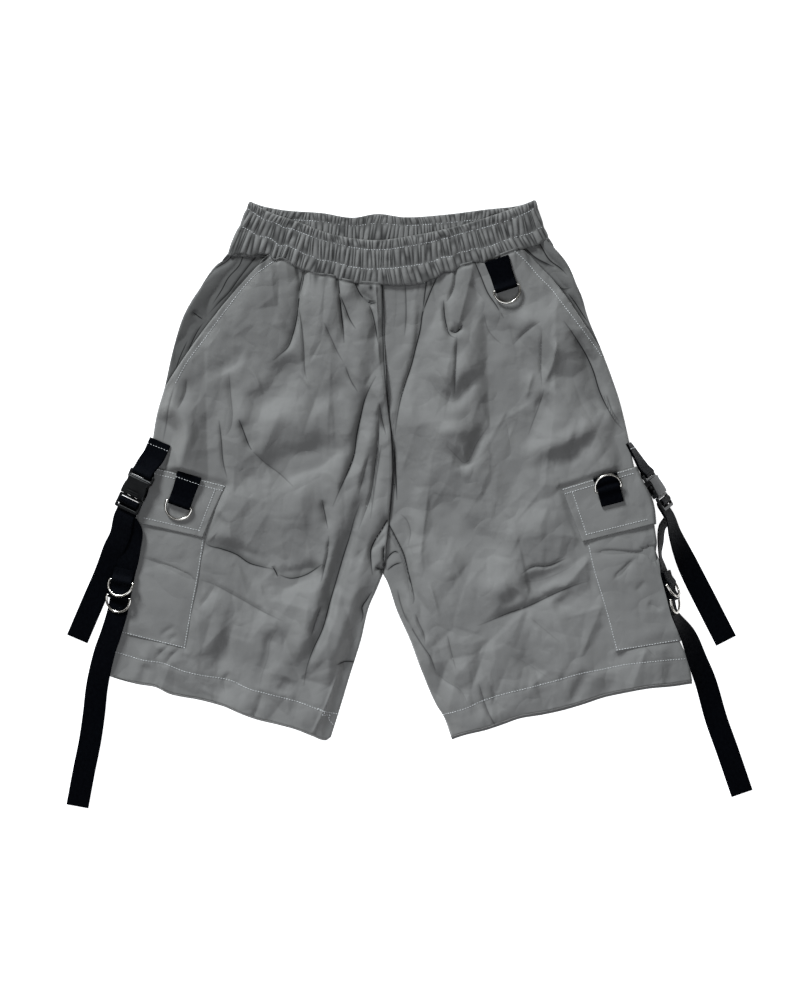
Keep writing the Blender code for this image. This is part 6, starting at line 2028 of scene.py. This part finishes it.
def fine_line(points, step=1.2):
    length = np.linalg.norm(np.diff(np.asarray(points, float), axis=0), axis=1).sum()
    return smooth_line(points, max(6, int(length / step)))


THREAD_LIFT = 0.25  # of a stitch's middle over the cloth


def on_surface(height, line):
    return np.column_stack([line, height(line) + THREAD_LIFT])


class SHORTS_OT_stitches(bpy.types.Operator):
    """Sews the topstitching: mouths, hems, pockets, waistband channels and loops"""

    bl_idname = "shorts.stitches"
    bl_label = "Stitches"

    def execute(self, context):
        lines = []
        for side in SIDES:
            front = partial(front_height, side)
            lines += [on_surface(front, fine_line(line)) for line in (MOUTH_STITCH[side], HEM_STITCH[side])]
            lines += self.pocket_lines(side)
        lines.append(on_surface(partial(front_height, "left"), fine_line(HEM_TACK)))
        for placed, width in self.sewn_webbing():
            across = np.linspace(-0.46, 0.46, 12) * width
            lines.append(np.array([tuple(placed @ Vector((x, 0, THREAD_LIFT))) for x in across]))
        tree = stitch_tree()
        add_stitches("topstitching", lines, tree)
        add_stitches("waistband_stitching", self.band_lines(), tree)
        return {"FINISHED"}

    def sewn_webbing(self):
        """Frames on the webbings' upper faces where a row of stitches crosses them, and their widths."""
        frames, distances, _, _ = flat_loop_frames("flap_loop_left")
        rows = [(frames, distances, 2 * PLY - BAR_PLY, LOOP_WIDTH)]
        rows += [(*run_frames(tab_runs(side), 60), PLY, STRAP_WIDTH) for side in SIDES]
        for frames, distances, ply, width in rows:
            placed = frames[int(np.searchsorted(distances, WEBBING_STITCH))]
            yield placed @ Matrix.Translation((0, 0, ply + WEBBING / 2)), width

    def pocket_lines(self, side):
        """A bag's rows along its inner edge and bottom, and a flap's along its top, inner edge and bottom."""
        bag, flap = BAGS[side], FLAPS[side]
        on_bag = partial(on_surface, partial(pocket_height, side, bag, BAG_CREASES[side]))
        on_flap = partial(on_surface, partial(pocket_height, side, flap, []))
        shown = np.asarray(bag.inner[1:], float) + [OUTWARD[side] * bag.inset, 0]
        shown[-1, 1] += bag.inset
        end = side_line(side, bag.top_level, bag.low_level, 9)[-1] + [0, bag.inset]
        low = shown[-1] + (end - shown[-1]) * np.linspace(0, 0.95, 30)[:, None]
        found = [on_bag(fine_line(shown)), on_bag(low)]

        inner = np.asarray(flap.inner, float)
        sides = side_line(side, flap.top_level, flap.low_level, 9)
        across_top, across_low = sides[0] - inner[0], sides[-1] - inner[-1]
        down = (inner[-1] - inner[0]) / np.linalg.norm(inner[-1] - inner[0])
        for row in FLAP_TOP_ROWS:
            found.append(on_flap(inner[0] + down * row + across_top * np.linspace(0.01, 0.95, 40)[:, None]))
        way_top, way_low = (way / np.linalg.norm(way) for way in (across_top, across_low))
        start = inner[0] + way_top * (flap.inset + 2) + down * (flap.inset + 1)
        corner = inner[-1] + way_low * flap.inset - down * flap.inset
        found.append(on_flap(start + (corner - start) * np.linspace(0, 1, 30)[:, None]))
        far = sides[-1] - down * flap.inset
        found.append(on_flap(corner + (far - corner) * np.linspace(0, 0.95, 40)[:, None]))
        return found

    def band_lines(self):
        band = Band()
        found = []
        for face, part, way in ((0, band.front, 1), (1, band.back, -1)):
            thick = band.thickness(np.linspace(0, 1, 101), face)[0][part]
            for row in (0, 1):
                shares = band.stitch[part, row]
                place = np.clip(np.round(shares * 100).astype(int), 0, 100)
                off = thick[np.arange(len(shares)), place] + 0.1
                middle = band.top[part] * (1 - shares[:, None]) + band.seam[part] * shares[:, None]
                found.append(middle + way * off[:, None] * band.normal[part])
        return found


# ---------------------------------------------------------------- stage

FLOOR_REACH, FLOOR_LEVEL = 40, -0.0006  # in m: it ends out of sight, just under the cloth
PICTURE_CENTRE = (-0.0106, 0.0056)
# Each light's place and size in m, and its colour.
KEY_LIGHT = ((-5.4, 9.6, 5.4), 3.0, "#f5fbff")
HEM_LIGHT = ((0.0, -0.5, 1.3), 0.9, "#f2f7ff")


class SHORTS_OT_stage(bpy.types.Operator):
    """Sets up the pale floor, the soft lights and the camera over the shorts"""

    bl_idname = "shorts.stage"
    bl_label = "Stage"

    def execute(self, context):
        stage = settings().stage
        self.floor()
        self.light("key light", stage.key, *KEY_LIGHT)
        self.light("hem light", stage.fill, *HEM_LIGHT)
        world = bpy.data.worlds.new("soft sky")
        world.use_nodes = True
        background = world.node_tree.nodes["Background"]
        background.inputs["Color"].default_value = srgb("#faf8f4")
        background.inputs["Strength"].default_value = stage.sky
        context.scene.world = world
        camera = bpy.data.cameras.new("camera")
        camera.lens = camera.sensor_width * stage.height / stage.covers
        obj = add_object("camera", camera)
        obj.location = (*PICTURE_CENTRE, stage.height)
        context.scene.camera = obj
        context.scene.view_settings.view_transform = "Standard"
        return {"FINISHED"}

    def floor(self):
        mesh = bpy.data.meshes.new("floor")
        ways = ((-1, -1), (1, -1), (1, 1), (-1, 1))
        mesh.from_pydata(
            [(x * FLOOR_REACH, y * FLOOR_REACH, FLOOR_LEVEL) for x, y in ways], [], [(0, 1, 2, 3)]
        )
        mesh.materials.append(acrylic_material())
        add_object("floor", mesh)

    def light(self, name, power, place, size, colour):
        lamp = bpy.data.lights.new(name, "AREA")
        lamp.size = size
        lamp.energy = power
        lamp.color = srgb(colour)[:3]
        obj = add_object(name, lamp)
        obj.location = place
        obj.rotation_euler = (-Vector(place)).to_track_quat("-Z", "Y").to_euler()


# ---------------------------------------------------------------- add-on


OPERATORS = (
    SHORTS_OT_stage,
    SHORTS_OT_back_panels,
    SHORTS_OT_pocket_facings,
    SHORTS_OT_front_panels,
    SHORTS_OT_waistband,
    SHORTS_OT_cargo_pockets,
    SHORTS_OT_webbing_loops,
    SHORTS_OT_side_straps,
    SHORTS_OT_rings,
    SHORTS_OT_buckles,
    SHORTS_OT_stitches,
)


class SHORTS_PT_panel(bpy.types.Panel):
    """Lists the steps that build the shorts, with their sizes"""

    bl_label = "Cargo shorts"
    bl_idname = "SHORTS_PT_panel"
    bl_space_type = "VIEW_3D"
    bl_region_type = "UI"
    bl_category = "Shorts"

    def draw(self, context):
        for name in ("cloth", "waistband", "stitches", "hardware", "stage"):
            group = getattr(settings(), name)
            box = self.layout.box()
            box.label(text=name.capitalize())
            for key in group.bl_rna.properties.keys():
                if key not in ("rna_type", "name"):
                    box.prop(group, key)
        for operator in OPERATORS:
            self.layout.operator(operator.bl_idname)


GROUPS = (ClothSettings, WaistbandSettings, StitchSettings, HardwareSettings, StageSettings, ShortsSettings)
CLASSES = GROUPS + OPERATORS + (SHORTS_PT_panel,)


def register():
    for cls in CLASSES:
        bpy.utils.register_class(cls)
    bpy.types.Scene.shorts = PointerProperty(type=ShortsSettings)


def unregister():
    del bpy.types.Scene.shorts
    for cls in reversed(CLASSES):
        bpy.utils.unregister_class(cls)


def main():
    register()
    for operator in OPERATORS:
        group, name = operator.bl_idname.split(".")
        getattr(getattr(bpy.ops, group), name)()


if __name__ == "__main__":
    main()
